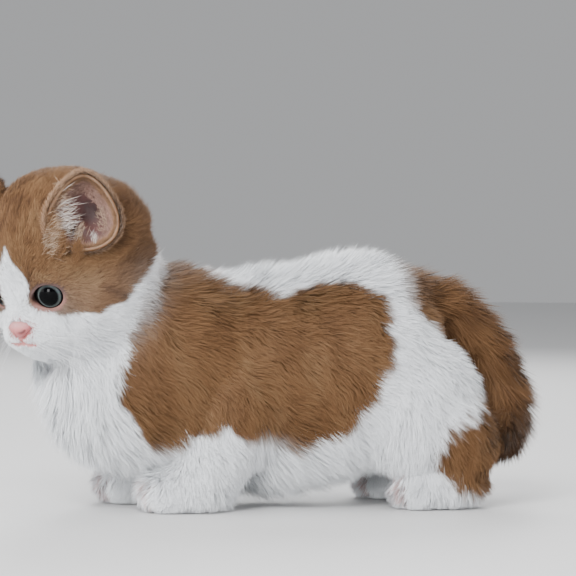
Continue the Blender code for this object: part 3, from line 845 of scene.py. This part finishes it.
def make_ear(name, side):
    """The cup with its folds, and where its points lie inside."""
    count = 72
    deep = [0.96, 0.88, 0.78, 0.66, 0.54, 0.42, 0.31, 0.21, 0.12, 0.05]
    rings = [ear_ring(side, share, EAR_WALL, count) for share in deep]
    rings += [ear_ring(side, 0.0, EAR_WALL * share, count) for share in (0.85, 0.5, 0.15)]
    rings += [ear_ring(side, share, 0.0, count) for share in reversed(deep)]
    bottoms = [ear_bottom(side, EAR_WALL), ear_bottom(side, 0.0)]
    points = np.array([p for ring in rings for p in ring] + bottoms)
    inner = np.arange(len(points)) >= (len(deep) + 1) * count
    inner[-2] = False
    out = np.array(ear_axes(side)[0])
    place = ear_places(points, side)
    folds = np.sin(place[:, 0] * 1000 / 1.5 + np.sin(place[:, 1] * 1000 / 2.6) * 1.4)
    folds = folds * smoothstep(0.002, 0.005, -place[:, 2]) * np.exp(-((place[:, 1] + 0.004) / 0.006) ** 2)
    points = points + out * (folds * inner * 0.0007)[:, None]
    quads, triangles = ring_faces(count, len(rings))
    obj = mesh_from(name, points, triangles, quads)
    painted(obj, ear_colours(points, side, inner))
    return obj


# Where hair grows, and how


# Large primes that give each cell of a grid a key of its own
CELL_KEYS = np.array([73856093, 19349663, 83492791])
# How wide a hair's patch is on the bake map
PATCH = 0.003
HAIRS = 430000
PIECE_HAIRS = 60000


def vertex_normals(points, triangles):
    a, b, c = (points[triangles[:, i]] for i in range(3))
    face = np.cross(b - a, c - a)
    total = np.zeros_like(points)
    for i in range(3):
        np.add.at(total, triangles[:, i], face)
    return unit(total)


def lid_nearness(points, side, grow):
    """Below 1 within the lids' opening grown by some width."""
    gaze, outer, up = (np.array(v) for v in eye_axes(side))
    away = points - np.array(eye_centre(side))
    across = away @ outer
    across = np.where(across < 0, across * 0.84, across)
    oval = np.hypot(across / (EYE_OPENING[0] + grow), (away @ up) / (EYE_OPENING[1] + grow))
    return np.where(away @ gaze > 0.003, oval, 9.0)


def nose_nearness(points):
    place = head_places(points) - np.array(NOSE_PLACE)
    return np.where(place[:, 0] > -0.012, np.hypot(place[:, 1] / 0.0062, place[:, 2] / 0.0040), 9.0)


def hair_share(points):
    """From 0, bare, to 1, where hair grows in full."""
    share = np.ones(len(points))
    for side in (-1, 1):
        share *= smoothstep(0.97, 1.12, lid_nearness(points, side, 0.0009))
        share *= smoothstep(1.0, 1.06, ear_nearness(points, side))
    share *= smoothstep(0.86, 1.0, nose_nearness(points))
    share *= smoothstep(0.0004, 0.0010, line_distance(points, MOUTH_LINE))
    share *= smoothstep(0.0007, 0.0014, line_distance(points, PHILTRUM))
    share *= 1 - 0.7 * toe_lines(points)
    return share * smoothstep(0.0012, 0.0025, points[:, 2])


def chest_share(points, normals, column):
    """From 0 to 1, how far points lie on the front of the chest."""
    front = smoothstep(0.1, 0.5, -normals[:, 0]) * smoothstep(-0.045, -0.060, points[:, 0])
    front = front * (column["torso"] + column["neck"])
    return front * smoothstep(0.022, 0.050, points[:, 2])


def hair_scale(points, normals, weights):
    """What the length is multiplied by: more on ridge, belly and cheeks, less on the face and tail's tip."""
    column = by_group(weights)
    place = head_places(points)
    scale = np.ones(len(points))
    top = smoothstep(0.55, 0.9, normals[:, 2]) * column["torso"]
    under = smoothstep(0.2, 0.7, -normals[:, 2]) * column["torso"]
    chest = chest_share(points, normals, column)
    scale += 0.15 * top + 0.42 * chest - 0.20 * column["torso"] * (1 - top) * (1 - under) * (1 - chest)
    scale += under * (0.68 - 0.60 * smoothstep(0.002, 0.030, points[:, 0]))
    breast = smoothstep(-0.030, -0.050, points[:, 0]) * smoothstep(0.042, 0.024, points[:, 2])
    scale -= 0.45 * breast * column["torso"]
    scale += 1.1 * smoothstep(0.25, 0.85, normals[:, 0]) * column["head"] * smoothstep(0, 0.006, place[:, 2])
    for side in SIDES:
        scale += 0.5 * smoothstep(0.2, 0.7, normals[:, 0]) * column["foreleg_" + side]
    cheek = smoothstep(0.002, -0.012, place[:, 2]) * smoothstep(0.008, -0.006, place[:, 0])
    scale += 0.9 * cheek * column["head"]
    face = smoothstep(0.009, 0.020, muzzle_distance(points))
    for side in (-1, 1):
        face = np.minimum(face, 0.3 + 0.7 * smoothstep(0.0088, 0.0145, near_eye(points, side)))
        rim = smoothstep(1.0, 1.35, ear_nearness(points, side))
        scale *= 1 - column["head"] * 0.55 * (1 - rim)
    scale *= 1 - column["head"] * (1 - np.maximum(face, 0.32))
    scale *= 1 - 0.6 * toe_lines(points)
    from_tip = np.linalg.norm(points - np.array(TAIL_PATH[-1]), axis=1)
    scale *= 1 - 0.80 * column["tail"] * smoothstep(0.034, 0.008, from_tip)
    return scale * (0.6 + 0.4 * smoothstep(0.0012, 0.0040, line_distance(points, MOUTH_LINE)))


def hair_lie(points, normals, weights):
    """The way the coat lies along the skin, parted round the eyes, nose and ears."""
    way = flow(points, weights)
    for side in (-1, 1):
        away = points - np.array(eye_centre(side))
        near = 1 - smoothstep(0.0085, 0.0165, near_eye(points, side))
        way = way + unit(away) * near[:, None] * 1.6
        out = np.array(ear_axes(side)[0])
        away = points - np.array(ear_centre(side))
        away = away - (away @ out)[:, None] * out
        near = 1 - smoothstep(1.0, 1.5, ear_nearness(points, side))
        way = way + unit(away) * near[:, None] * 1.4
    along = along_surface(way, normals)
    turn = wobble(points, 0.012, 31) * 0.35 + wobble(points, 0.0045, 32) * 0.28
    across = np.cross(normals, along)
    return along * np.cos(turn)[:, None] + across * np.sin(turn)[:, None]


def hair_stand(points, normals, weights):
    """Degrees that the root stands off the skin."""
    column = by_group(weights)
    stand = coat_value(weights, "stand")
    stand += 18 * smoothstep(0.55, 0.9, normals[:, 2]) * column["torso"]
    stand += 18 * smoothstep(0.2, 0.7, -normals[:, 2]) * column["torso"]
    stand += 16 * chest_share(points, normals, column)
    return stand + wobble(points, 0.008, 41) * 6


def chosen_roots(points, triangles, fields, density, count, random):
    """Places spread over the triangles, with every field mixed from the corners."""
    a, b, c = (points[triangles[:, i]] for i in range(3))
    area = np.linalg.norm(np.cross(b - a, c - a), axis=1) / 2
    chance = area * density[triangles].mean(axis=1)
    picked = random.choice(len(triangles), count, p=chance / chance.sum())
    u, v = random.random((2, count))
    over = u + v > 1
    u, v = np.where(over, 1 - u, u), np.where(over, 1 - v, v)
    corners = triangles[picked]
    mix = np.stack([1 - u - v, u, v], axis=1)
    mixed = []
    for field in fields:
        shares = mix.reshape(count, 3, *([1] * (field.ndim - 1)))
        mixed.append((field[corners] * shares).sum(axis=1))
    return mixed


def clump_centres(roots, tips, size):
    """For each hair, the number, middle root and middle tip of the tuft that it belongs to."""
    warp = np.stack([wobble(roots, 0.005, seed) for seed in (51, 52, 53)], axis=1) * size * 0.5
    cells = np.floor((roots + warp) / size).astype(np.int64)
    keys = cells @ CELL_KEYS
    _, cell = np.unique(keys, return_inverse=True)
    number = np.bincount(cell)
    root_mid = np.stack([np.bincount(cell, roots[:, i]) / number for i in range(3)], axis=1)
    tip_mid = np.stack([np.bincount(cell, tips[:, i]) / number for i in range(3)], axis=1)
    return cell, root_mid[cell], tip_mid[cell]


def hairs(roots, normals, lie, stand, length, width, random, gather=0.45, clump=0.0019):
    """Five points a hair, its normal for the light and its middle.

    Two points are at the root, two in the middle and one at the tip. Neighbours gather into tufts.
    """
    count = len(roots)
    stand = np.radians(np.clip(stand + random.normal(0, 9, count), 8, 82))[:, None]
    across = np.cross(normals, lie)
    fan = random.normal(0, 0.30, count)[:, None]
    lie = unit(lie + across * fan)
    length = (length * random.uniform(0.72, 1.12, count))[:, None]
    low = lie * np.cos(stand) + normals * np.sin(stand)
    high = lie * np.cos(stand * 0.62) + normals * np.sin(stand * 0.62)
    mid = roots + low * length * 0.5
    tip = mid + high * length * 0.5
    cell, root_mid, tip_mid = clump_centres(roots, tip, clump)
    tuft = np.random.default_rng(77).normal(0, 1, (cell.max() + 1, 3))[cell] * length * 0.09
    target = tip_mid + tuft
    pull = gather * random.uniform(0.5, 1.0, count)[:, None]
    tip = tip + (target - tip) * pull
    mid = mid + ((target + root_mid) / 2 - mid) * pull * 0.3
    roll = random.uniform(-0.9, 0.9, count)[:, None]
    side = unit(np.cross(tip - roots, normals))
    side = side * np.cos(roll) + normals * np.sin(roll)
    half = width[:, None] * random.uniform(0.7, 1.25, count)[:, None] / 2
    points = np.stack([roots - side * half * 0.8, roots + side * half * 0.8,
                       mid + side * half, mid - side * half, tip], axis=1)
    points[:, :, 2] = np.maximum(points[:, :, 2], 0.0003)
    facing = unit(np.cross(side, tip - roots))
    facing = facing * np.sign((facing * normals).sum(1))[:, None]
    shading = unit(normals * 0.68 + facing * 0.32)
    return points, shading, mid


def hair_object(name, points, shading, colours, patches):
    """A piece of coat: one blade a hair, its colours darkened towards the root as painted shade and a little
    lighter at the tip, and its patch of the bake map.
    """
    count = len(points)
    start = np.arange(count)[:, None] * 5
    quads = start + np.array([[0, 1, 2, 3]])
    triangles = start + np.array([[3, 2, 4]])
    obj = mesh_from(name, points.reshape(-1, 3), triangles, quads)
    # Painted shade: each hair darker towards its root, less so when pale, and a little lighter at its tip
    pale = smoothstep(0.35, 0.75, colours.mean(axis=1))[:, None]
    low = np.array([0.62, 0.62, 0.95, 0.95, 1.15])
    shares = low + (np.sqrt(low) - low) * pale
    painted(obj, np.clip(colours[:, None, :] * shares[:, :, None], 0, 1).reshape(-1, 3))
    corner = np.array([(0, 0), (1, 0), (1, 0.5), (0, 0.5), (0.5, 1)]) * PATCH
    places = (patches[:, None, :] + corner[None]).reshape(-1, 2)
    layer = obj.data.uv_layers.new(name="OFBake")
    order = np.concatenate([quads.ravel(), triangles.ravel()])
    layer.data.foreach_set("uv", places[order].astype(np.float32).ravel())
    normals = np.repeat(shading, 5, axis=0)
    obj.data.normals_split_custom_set_from_vertices(normals.astype(np.float32))
    return obj


def unwrapped(points, name):
    """Each root's place on an unwrap of the skin's own shape, wound round the group's long axis."""
    if name == "head":
        place = head_places(points)
        around, along = np.arctan2(place[:, 1], place[:, 2]), place[:, 0]
    elif name in ("torso", "neck", "tail"):
        around, along = np.arctan2(points[:, 1], points[:, 2] - SPINE_HEIGHT), points[:, 0]
    else:
        middle = points.mean(axis=0)
        around, along = np.arctan2(points[:, 1] - middle[1], points[:, 0] - middle[0]), points[:, 2]
    u = (around / (2 * math.pi) + 0.5) * 0.99
    v = (along - along.min()) / max(np.ptp(along), 1e-6) * 0.99
    return np.stack([u, v], axis=1)


def grow_coat(points, triangles, random):
    """The coat of the body, in pieces by the part of the body that they grow on."""
    normals = vertex_normals(points, triangles)
    weights = group_weights(points)
    density = coat_value(weights, "density") * hair_share(points)
    fields = [points, normals, weights, density, hair_scale(points, normals, weights)]
    roots, normal, weight, _, scale = chosen_roots(points, triangles, fields, density, HAIRS, random)
    normal = unit(normal)
    lie = hair_lie(roots, normal, weight)
    stand = hair_stand(roots, normal, weight)
    length = coat_value(weight, "length") * scale
    width = coat_value(weight, "width")
    blades, shading, mid = hairs(roots, normal, lie, stand, length, width, random)
    colours = coat_colour(mid * 0.35 + blades[:, 4] * 0.65, weight, random)
    group = weight.argmax(axis=1)
    pieces = []
    for i, name in enumerate(GROUP_NAMES):
        members = np.flatnonzero(group == i)
        patches = unwrapped(roots[members], name)
        for number, start in enumerate(range(0, len(members), PIECE_HAIRS)):
            part = members[start:start + PIECE_HAIRS]
            places = patches[start:start + PIECE_HAIRS]
            title = "coat_%s_%d" % (name, number + 1)
            pieces.append(hair_object(title, blades[part], shading[part], colours[part], places))
    return pieces


def cup_places(side, grow, turn, share, deepest, rows):
    """Places on the wall of an ear's cup, by their turn round it and their share of its depth."""
    around = 96
    rings = np.array([ear_ring(side, s, grow, around) for s in np.linspace(0, deepest, rows)])
    row = share / deepest * (rows - 1)
    column = turn / (2 * math.pi) * around
    r, c = np.floor(row).astype(int), np.floor(column).astype(int) % around
    places = rings[r, c]
    down = (rings[np.minimum(r + 1, rows - 1), c] - places) * (row - r)[:, None]
    beside = (rings[r, (c + 1) % around] - places) * (column % 1)[:, None]
    return places + down + beside


def ear_coat(side, random, count=13000):
    """Short hair over the back of an ear, thickest along its rim."""
    deepest = 0.62
    turn = random.uniform(0, 2 * math.pi, count)
    share = random.uniform(0, 1, count) ** 2.2 * 0.6
    roots = cup_places(side, EAR_WALL, turn, share, deepest, 32)
    out, _, up = (np.array(v) for v in ear_axes(side))
    outward = unit(roots - np.array(ear_centre(side)))
    normals = unit(outward + out * 0.5)
    lie = unit(up * 0.6 + out * 0.35 + outward * 0.7 + random.normal(0, 0.3, (count, 3)))
    lie = along_surface(lie, normals)
    length = 0.0034 * (0.8 + 0.4 * random.random(count))
    stand = np.full(count, 26.0)
    width = np.full(count, 0.00015)
    blades, shading, _ = hairs(roots, normals, lie, stand, length, width, random, 0.4, 0.0012)
    rim = np.exp(-share / 0.02)[:, None]
    colours = GINGER * (1 - rim * 0.35) + np.array((0.60, 0.42, 0.30)) * rim * 0.35
    colours = colours * random.uniform(0.75, 1.25, count)[:, None]
    places = np.stack([turn / (2 * math.pi), share / deepest], axis=1) * 0.99
    return blades, shading, colours, places


def ear_tufts(side, random):
    """Fine white hair from the front edge over the cup, and a bright tuft at its foot."""
    out, back, up = (np.array(v) for v in ear_axes(side))
    centre = np.array(ear_centre(side))
    white, cream = (0.66, 0.59, 0.54), (0.46, 0.33, 0.23)
    # Each tuft's place and way, back, up and out, then its length, hairs, spread and colour
    spots = [
        ((-0.0085, -0.0005, -0.0010), (1.0, 0.10, 0.35), 0.0078, 70, 0.0032, white),
        ((-0.0075, -0.0050, -0.0010), (1.0, 0.30, 0.40), 0.0074, 70, 0.0028, white),
        ((-0.0100, 0.0045, 0.0000), (0.9, -0.1, 0.35), 0.0058, 90, 0.0032, cream),
        ((0.0045, -0.0100, -0.0020), (0.1, 1.0, 0.55), 0.0036, 40, 0.0012, white),
        ((-0.0010, -0.0090, -0.0030), (0.3, 0.9, 0.60), 0.0040, 90, 0.0022, cream),
        ((0.0085, -0.0030, -0.0030), (-0.8, 0.5, 0.60), 0.0034, 80, 0.0028, cream),
        ((-0.0138, -0.0040, 0.0005), (0.8, 0.05, 0.50), 0.0048, 500, 0.0022, GINGER),
        ((-0.0130, -0.0085, 0.0005), (0.7, 0.35, 0.50), 0.0054, 600, 0.0022, GINGER),
        ((-0.0090, -0.0138, 0.0005), (0.35, 0.70, 0.50), 0.0056, 700, 0.0022, GINGER),
        ((-0.0020, -0.0155, 0.0005), (0.15, 0.80, 0.50), 0.0042, 500, 0.0024, GINGER),
        ((-0.0125, -0.0090, 0.0008), (0.8, 0.45, 0.45), 0.0058, 420, 0.0030, cream),
    ]
    axes = np.stack([back, up, out])
    parts = []
    for place, way, length, count, spread, colour in spots:
        offsets = random.normal(0, spread, (count, 3)) * np.array((0.45, 1.0, 0.3))
        roots = centre + (np.array(place) + offsets) @ axes
        lie = unit(np.array(way) @ axes + random.normal(0, 0.32, (count, 3)))
        normals = np.tile(unit(out + up * 0.2), (count, 1))
        sizes = length * random.uniform(0.6, 1.15, count)
        blades, shading, _ = hairs(roots, normals, lie, np.full(count, 16.0), sizes,
                                   np.full(count, 0.00012), random, 0.6, 0.0015)
        colours = np.array(colour) * random.uniform(0.65, 1.15, count)[:, None]
        parts.append((blades, shading, colours, random.uniform(0, 0.99, (count, 2))))
    parts.append(ear_down(side, random))
    return [np.concatenate(column) for column in zip(*parts)]


def ear_down(side, random, count=6500):
    """Short down inside the cup, thickest and warmest at the rim."""
    turn = random.uniform(0, 2 * math.pi, count)
    share = 0.02 + 0.46 * random.uniform(0, 1, count) ** 1.7
    roots = cup_places(side, 0.0, turn, share, 0.48, 25)
    out, _, up = (np.array(v) for v in ear_axes(side))
    inward = unit(np.array(ear_centre(side)) - roots)
    normals = unit(inward + out * 0.7)
    lie = unit(up * 0.8 + out * 0.4 + inward * 0.6 + random.normal(0, 0.35, (count, 3)))
    lie = along_surface(lie, normals)
    length = 0.0030 * random.uniform(0.7, 1.25, count)
    blades, shading, _ = hairs(roots, normals, lie, np.full(count, 24.0), length,
                               np.full(count, 0.00013), random, 0.5, 0.0013)
    edge = smoothstep(0.22, 0.04, share)[:, None]
    colours = np.array((0.33, 0.20, 0.16)) * (1 - edge) + (GINGER * 1.3 + 0.03) * edge
    colours = colours * random.uniform(0.75, 1.25, count)[:, None]
    places = np.stack([turn / (2 * math.pi), share], axis=1) * 0.99
    return blades, shading, colours, places


# Eyes, nose and whiskers


def make_eye(name, side):
    """A wet ball with its pupil, grey iris and dark rim."""
    obj = globe(name, side, EYE_RADIUS, 128)
    points, _ = object_arrays(obj)
    away = unit(points - np.array(eye_centre(side)))
    angle = np.degrees(np.arccos(np.clip(away @ looking(side), -1, 1)))
    bulge = np.clip(1 - (angle / 40) ** 2, 0, 1)[:, None] * 0.0005
    points = points + away * bulge + SHIFT
    set_points(obj, points)
    layer = obj.data.attributes.new("Angle", "FLOAT", "POINT")
    layer.data.foreach_set("value", (angle / 90).astype(np.float32))
    obj.data.shade_smooth()
    return obj


def looking(side):
    """Where the pupil points: a little outwards and up of the globe's axis."""
    gaze, outer, up = (np.array(v) for v in eye_axes(side))
    return unit(gaze + outer * 0.03 + up * 0.02)


def comma_nearness(place):
    """From 0 to 1, how near points of the nose are to the middle of a nostril."""
    comma = np.zeros(len(place))
    for along in np.linspace(0, 1, 6):
        left = 0.0023 + 0.0017 * along
        up = -0.0006 + 0.0009 * along ** 2
        near = np.hypot(np.abs(place[:, 1]) - left, place[:, 2] - up)
        comma = np.maximum(comma, np.exp(-(near / (0.00075 - 0.00030 * along)) ** 2))
    return comma


def make_nose():
    """The leather: broad above, narrow below, with a groove and two comma nostrils, both darkened with painted
    shade.
    """
    count, rows = 96, 60
    depth, half_width, half_height = 0.0036, 0.0058, 0.0034
    turns = np.linspace(0, 2 * math.pi, count, endpoint=False)
    tilt = np.linspace(0.03, 0.97, rows) * math.pi
    turn, pitch = np.meshgrid(turns, tilt)
    sphere = np.stack([np.cos(pitch), np.sin(pitch) * np.cos(turn), np.sin(pitch) * np.sin(turn)], axis=-1)
    sphere = np.vstack([sphere.reshape(-1, 3), (1, 0, 0), (-1, 0, 0)])
    forward, left, up = sphere.T
    left = left * (1 - 0.62 * smoothstep(0.35, -1.0, up))
    place = np.stack([forward * depth, left * half_width, up * half_height], axis=1)
    front = smoothstep(0.0, 0.5, forward)
    middle = np.exp(-(place[:, 1] / 0.00045) ** 2) * smoothstep(0.0016, -0.0010, place[:, 2])
    comma = comma_nearness(place)
    place[:, 0] -= (0.0006 * middle + 0.0008 * comma) * front
    place[:, 0] -= 0.10 * np.abs(place[:, 1])
    points = np.array(on_head(*NOSE_PLACE)) + place @ HEAD_AXES
    quads, triangles = ring_faces(count, rows)
    obj = mesh_from("nose", points, triangles[:, ::-1], quads[:, ::-1])
    dark = np.array((0.20, 0.045, 0.045))
    pink = np.array((0.50, 0.165, 0.165))
    rim = np.array((0.38, 0.095, 0.10))
    pale = np.array((0.64, 0.36, 0.36))
    edge = smoothstep(0.75, 1.0, np.hypot(place[:, 1] / half_width, place[:, 2] / half_height))[:, None]
    colour = pink + (rim - pink) * edge * 0.7
    colour = colour + (pale - colour) * smoothstep(0.2, 0.9, up)[:, None] * 0.6
    # Painted shade: dark in the nostrils and along the groove
    colour = colour + (dark - colour) * (comma * front)[:, None] ** 1.2
    colour = colour + (dark - colour) * (middle * front * 0.35)[:, None]
    painted(obj, colour)
    return obj


def strands(name, starts, ways, lengths, droop, thickness, colour):
    """Long tapered hairs, each a three-sided tube along a bent line."""
    steps = 9
    points, quads, triangles = [], [], []
    for start, way, length in zip(starts, ways, lengths):
        side = np.cross(way, (0.0, 0.0, 1.0))
        side /= np.linalg.norm(side)
        lift = np.cross(side, way)
        base = len(points)
        for step in range(steps):
            t = step / (steps - 1)
            centre = start + way * length * t + np.array(droop) * length * t * t
            radius = thickness * (1 - 0.85 * t)
            for corner in range(3):
                turn = corner * 2 * math.pi / 3
                points.append(centre + (side * math.cos(turn) + lift * math.sin(turn)) * radius)
        for step in range(steps - 1):
            for corner in range(3):
                a = base + step * 3 + corner
                b = base + step * 3 + (corner + 1) % 3
                quads.append((a, b, b + 3, a + 3))
        triangles.append((base + 2, base + 1, base))
        triangles.append((base + steps * 3 - 3, base + steps * 3 - 2, base + steps * 3 - 1))
    obj = mesh_from(name, np.array(points), np.array(triangles), np.array(quads))
    painted(obj, np.tile(colour, (len(points), 1)))
    return obj


def make_whiskers(random):
    """Whiskers from the pads, in rows."""
    starts, ways, lengths = [], [], []
    for side in (-1, 1):
        for row in range(4):
            for column in range(4):
                left = side * (0.0058 + 0.0020 * column)
                up = -0.0182 - 0.0017 * row - 0.0003 * column
                start = np.array([on_head(0.0330 - 0.0018 * column, left, up)], float)
                way = HEAD_LEFT * side * (0.85 + 0.1 * column) - HEAD_FORWARD * (0.15 + 0.2 * column)
                way = way - HEAD_UP * (0.25 + 0.14 * row)
                way = unit(np.array(way) + random.normal(0, 0.05, 3))
                starts.append(onto_surface(start, -0.0003)[0])
                ways.append(way)
                lengths.append(random.uniform(0.024, 0.034))
    return strands("whiskers", starts, ways, lengths, (0.10, 0.0, -0.12), 0.00009, (0.90, 0.90, 0.92))


# Materials


def tuned(node, **values):
    """Sets a node's inputs by name."""
    for name, value in values.items():
        node.inputs[name.replace("_", " ")].default_value = value
    return node


def material(name, **values):
    """A material, its nodes and links, and its shader with the given inputs."""
    made = bpy.data.materials.new(name)
    made.use_nodes = True
    tree = made.node_tree
    return made, tree.nodes, tree.links, tuned(tree.nodes["Principled BSDF"], **values)


def noise_node(nodes, links, scale, detail):
    """Noise over the piece's own coordinates."""
    place = nodes.new("ShaderNodeTexCoord")
    noise = tuned(nodes.new("ShaderNodeTexNoise"), Scale=scale, Detail=detail)
    links.new(place.outputs["Object"], noise.inputs["Vector"])
    return noise


def ramp_node(nodes, stops):
    """A colour ramp with a colour at each place."""
    ramp = nodes.new("ShaderNodeValToRGB")
    elements = ramp.color_ramp.elements
    while len(elements) < len(stops):
        elements.new(0.5)
    for element, (place, colour) in zip(elements, stops):
        element.position = place
        element.color = (*colour, 1)
    return ramp


def multiplied(nodes, links, colour, other, factor):
    """The outcome of one colour times another."""
    mix = nodes.new("ShaderNodeMix")
    mix.data_type = "RGBA"
    mix.blend_type = "MULTIPLY"
    tuned(mix, Factor=factor)
    links.new(colour.outputs["Color"], mix.inputs["A"])
    links.new(other.outputs["Color"], mix.inputs["B"])
    return mix.outputs["Result"]


def painted_material(name, scale, strength, mottle=0.12, **values):
    """The painted colour, mottled by a fine noise that also raises the surface."""
    made, nodes, links, shader = material(name, **values)
    colour = nodes.new("ShaderNodeVertexColor")
    colour.layer_name = "Coat"
    noise = noise_node(nodes, links, scale, 3)
    low = 1 - mottle
    ramp = ramp_node(nodes, [(0.3, (low, low, low)), (0.7, (1, 1, 1))])
    links.new(noise.outputs["Fac"], ramp.inputs["Fac"])
    links.new(multiplied(nodes, links, colour, ramp, 1.0), shader.inputs["Base Color"])
    if strength:
        bump = tuned(nodes.new("ShaderNodeBump"), Strength=strength, Distance=0.0003)
        links.new(noise.outputs["Fac"], bump.inputs["Height"])
        links.new(bump.outputs["Normal"], shader.inputs["Normal"])
    return made


def skin_material():
    return painted_material("skin", 1800, 0.4, Roughness=0.75)


def hair_material():
    return painted_material("coat", 900, 0, 0.10, Roughness=0.62, Specular_IOR_Level=0.18,
                            Sheen_Weight=0.10, Sheen_Roughness=0.5)


def leather_material():
    return painted_material("leather", 5200, 0.5, Roughness=0.42, Subsurface_Weight=0.25,
                            Subsurface_Scale=0.002)


# Colours of the eye by degrees from the pupil's middle
EYE_STOPS = [
    (0.0, (0.001, 0.001, 0.0015)), (24.5, (0.001, 0.001, 0.0015)), (26.0, (0.020, 0.024, 0.025)),
    (28.0, (0.060, 0.072, 0.073)), (31.5, (0.105, 0.122, 0.118)), (34.0, (0.045, 0.052, 0.054)),
    (35.5, (0.006, 0.006, 0.007)), (45.0, (0.010, 0.008, 0.008)),
]


def eye_material():
    """Pupil, iris and rim by their angle, with a fine grain in the iris, under a wet film."""
    made, nodes, links, shader = material("eye", Roughness=0.4, Specular_IOR_Level=0.0, Coat_Weight=0.14,
                                          Coat_Roughness=0.02)
    angle = nodes.new("ShaderNodeAttribute")
    angle.attribute_name = "Angle"
    ramp = ramp_node(nodes, [(degrees / 90, colour) for degrees, colour in EYE_STOPS])
    links.new(angle.outputs["Fac"], ramp.inputs["Fac"])
    noise = noise_node(nodes, links, 1500, 4)
    links.new(multiplied(nodes, links, ramp, noise, 0.55), shader.inputs["Base Color"])
    return made


def floor_material():
    made, nodes, links, shader = material("floor", Roughness=0.55)
    noise = tuned(nodes.new("ShaderNodeTexNoise"), Scale=6)
    ramp = ramp_node(nodes, [(0, (0.70, 0.70, 0.70)), (1, (0.74, 0.74, 0.74))])
    links.new(noise.outputs["Fac"], ramp.inputs["Fac"])
    links.new(ramp.outputs["Color"], shader.inputs["Base Color"])
    return made


# The studio

PHOTO_WIDTH = 576
FOCAL_PIXELS = 2500
AIM_HEIGHT = 0.0868


def make_camera():
    """The photo's view: a long lens, nearly level, with a slight roll."""
    azimuth, elevation, roll = math.radians(-15.0), math.radians(1.2), math.radians(0.7)
    level = math.cos(elevation)
    back = Vector((math.sin(azimuth) * level, -math.cos(azimuth) * level, math.sin(elevation)))
    right = Vector((math.cos(azimuth), math.sin(azimuth), 0))
    up = back.cross(right)
    right, up = right * math.cos(roll) + up * math.sin(roll), up * math.cos(roll) - right * math.sin(roll)
    camera = added("camera", bpy.data.cameras.new("camera"))
    camera.data.sensor_width = 36
    camera.data.lens = FOCAL_PIXELS * 36 / PHOTO_WIDTH
    place = Vector((0, 0, AIM_HEIGHT)) + Vector(SHIFT) + back
    camera.matrix_world = Matrix.Translation(place) @ Matrix((right, up, back)).transposed().to_4x4()
    bpy.context.scene.camera = camera


def area_light(name, place, target, size, power):
    light = bpy.data.lights.new(name, "AREA")
    light.size = size
    light.energy = power
    obj = added(name, light)
    obj.location = place
    obj.rotation_euler = (Vector(target) - Vector(place)).to_track_quat("-Z", "Y").to_euler()


def make_studio():
    bm = bmesh.new()
    bmesh.ops.create_grid(bm, x_segments=8, y_segments=8, size=3.0)
    floor = linked("floor", bm)
    floor.data.materials.append(floor_material())
    middle = (0, 0, 0.07)
    area_light("key", (-0.56, -0.95, 0.90), middle, 0.6, 22)
    area_light("fill", (0.95, -0.75, 0.45), middle, 0.9, 6)
    area_light("low", (-0.92, -0.92, 0.16), middle, 0.32, 10)
    area_light("front", (-1.15, 0.05, 0.30), middle, 0.8, 10)
    area_light("rim", (0.25, 0.95, 0.75), middle, 0.7, 10)
    area_light("top", (0.0, 0.0, 1.3), middle, 0.9, 7)
    world = bpy.data.worlds.new("studio")
    world.use_nodes = True
    tuned(world.node_tree.nodes["Background"], Color=(0.92, 0.93, 0.95, 1), Strength=0.46)
    bpy.context.scene.world = world


# Putting the kitten together


def skin_colours(points, weights, random):
    """The coat's colours, darker, and pink on lids, lips and between the toes."""
    colour = coat_colour(points, weights, random) * 0.75
    pink = np.zeros(len(points))
    for side in (-1, 1):
        pink = np.maximum(pink, smoothstep(1.35, 1.1, lid_nearness(points, side, 0.0009)))
    pink = np.maximum(pink, smoothstep(0.0016, 0.0008, line_distance(points, MOUTH_LINE)))
    pink = np.maximum(pink, smoothstep(0.0016, 0.0010, line_distance(points, PHILTRUM)))
    pink = np.maximum(pink, smoothstep(1.5, 1.0, nose_nearness(points)))
    near = np.minimum(near_eye(points, 1), near_eye(points, -1)) < 0.013
    flesh = np.where(near, 1.0, 0.0)[:, None]
    upper = smoothstep(-0.0085, -0.0040, head_places(points)[:, 2])[:, None]
    lids = np.array((0.24, 0.115, 0.095)) * (1 - upper) + np.array((0.075, 0.038, 0.032)) * upper
    tone = lids * flesh + np.array((0.52, 0.19, 0.18)) * (1 - flesh)
    return colour * (1 - pink[:, None]) + tone * pink[:, None]


FLESH = ["head", "neck", "torso", "tail", "foreleg_left", "foreleg_right", "hindleg_left", "hindleg_right"]


def shown(obj, look, nodes):
    """Gives a piece its material and body, and hides the model's nodes that it stands for."""
    obj.data.materials.clear()
    obj.data.materials.append(look)
    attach(obj, "root")
    if nodes:
        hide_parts(*nodes)


def main():
    random = np.random.default_rng(2024)
    points, triangles = make_skin()
    weights = group_weights(points)
    skin = mesh_from("skin", points, triangles)
    painted(skin, skin_colours(points, weights, random))
    shown(skin, skin_material(), FLESH)
    hair_look = hair_material()
    for piece in grow_coat(points, triangles, random):
        shown(piece, hair_look, [])
    leather = leather_material()
    eye_look = eye_material()
    for name, side in (("left", 1), ("right", -1)):
        shown(make_ear("ear_cup_" + name, side), leather, ["ear_" + name])
        shown(hair_object("coat_ear_" + name, *ear_coat(side, random)), hair_look, [])
        shown(hair_object("tufts_ear_" + name, *ear_tufts(side, random)), hair_look, [])
        shown(make_eye("eyeball_" + name, side), eye_look, ["eye_" + name])
    shown(make_nose(), leather, [])
    shown(make_whiskers(random), hair_look, [])
    make_studio()
    make_camera()


main()
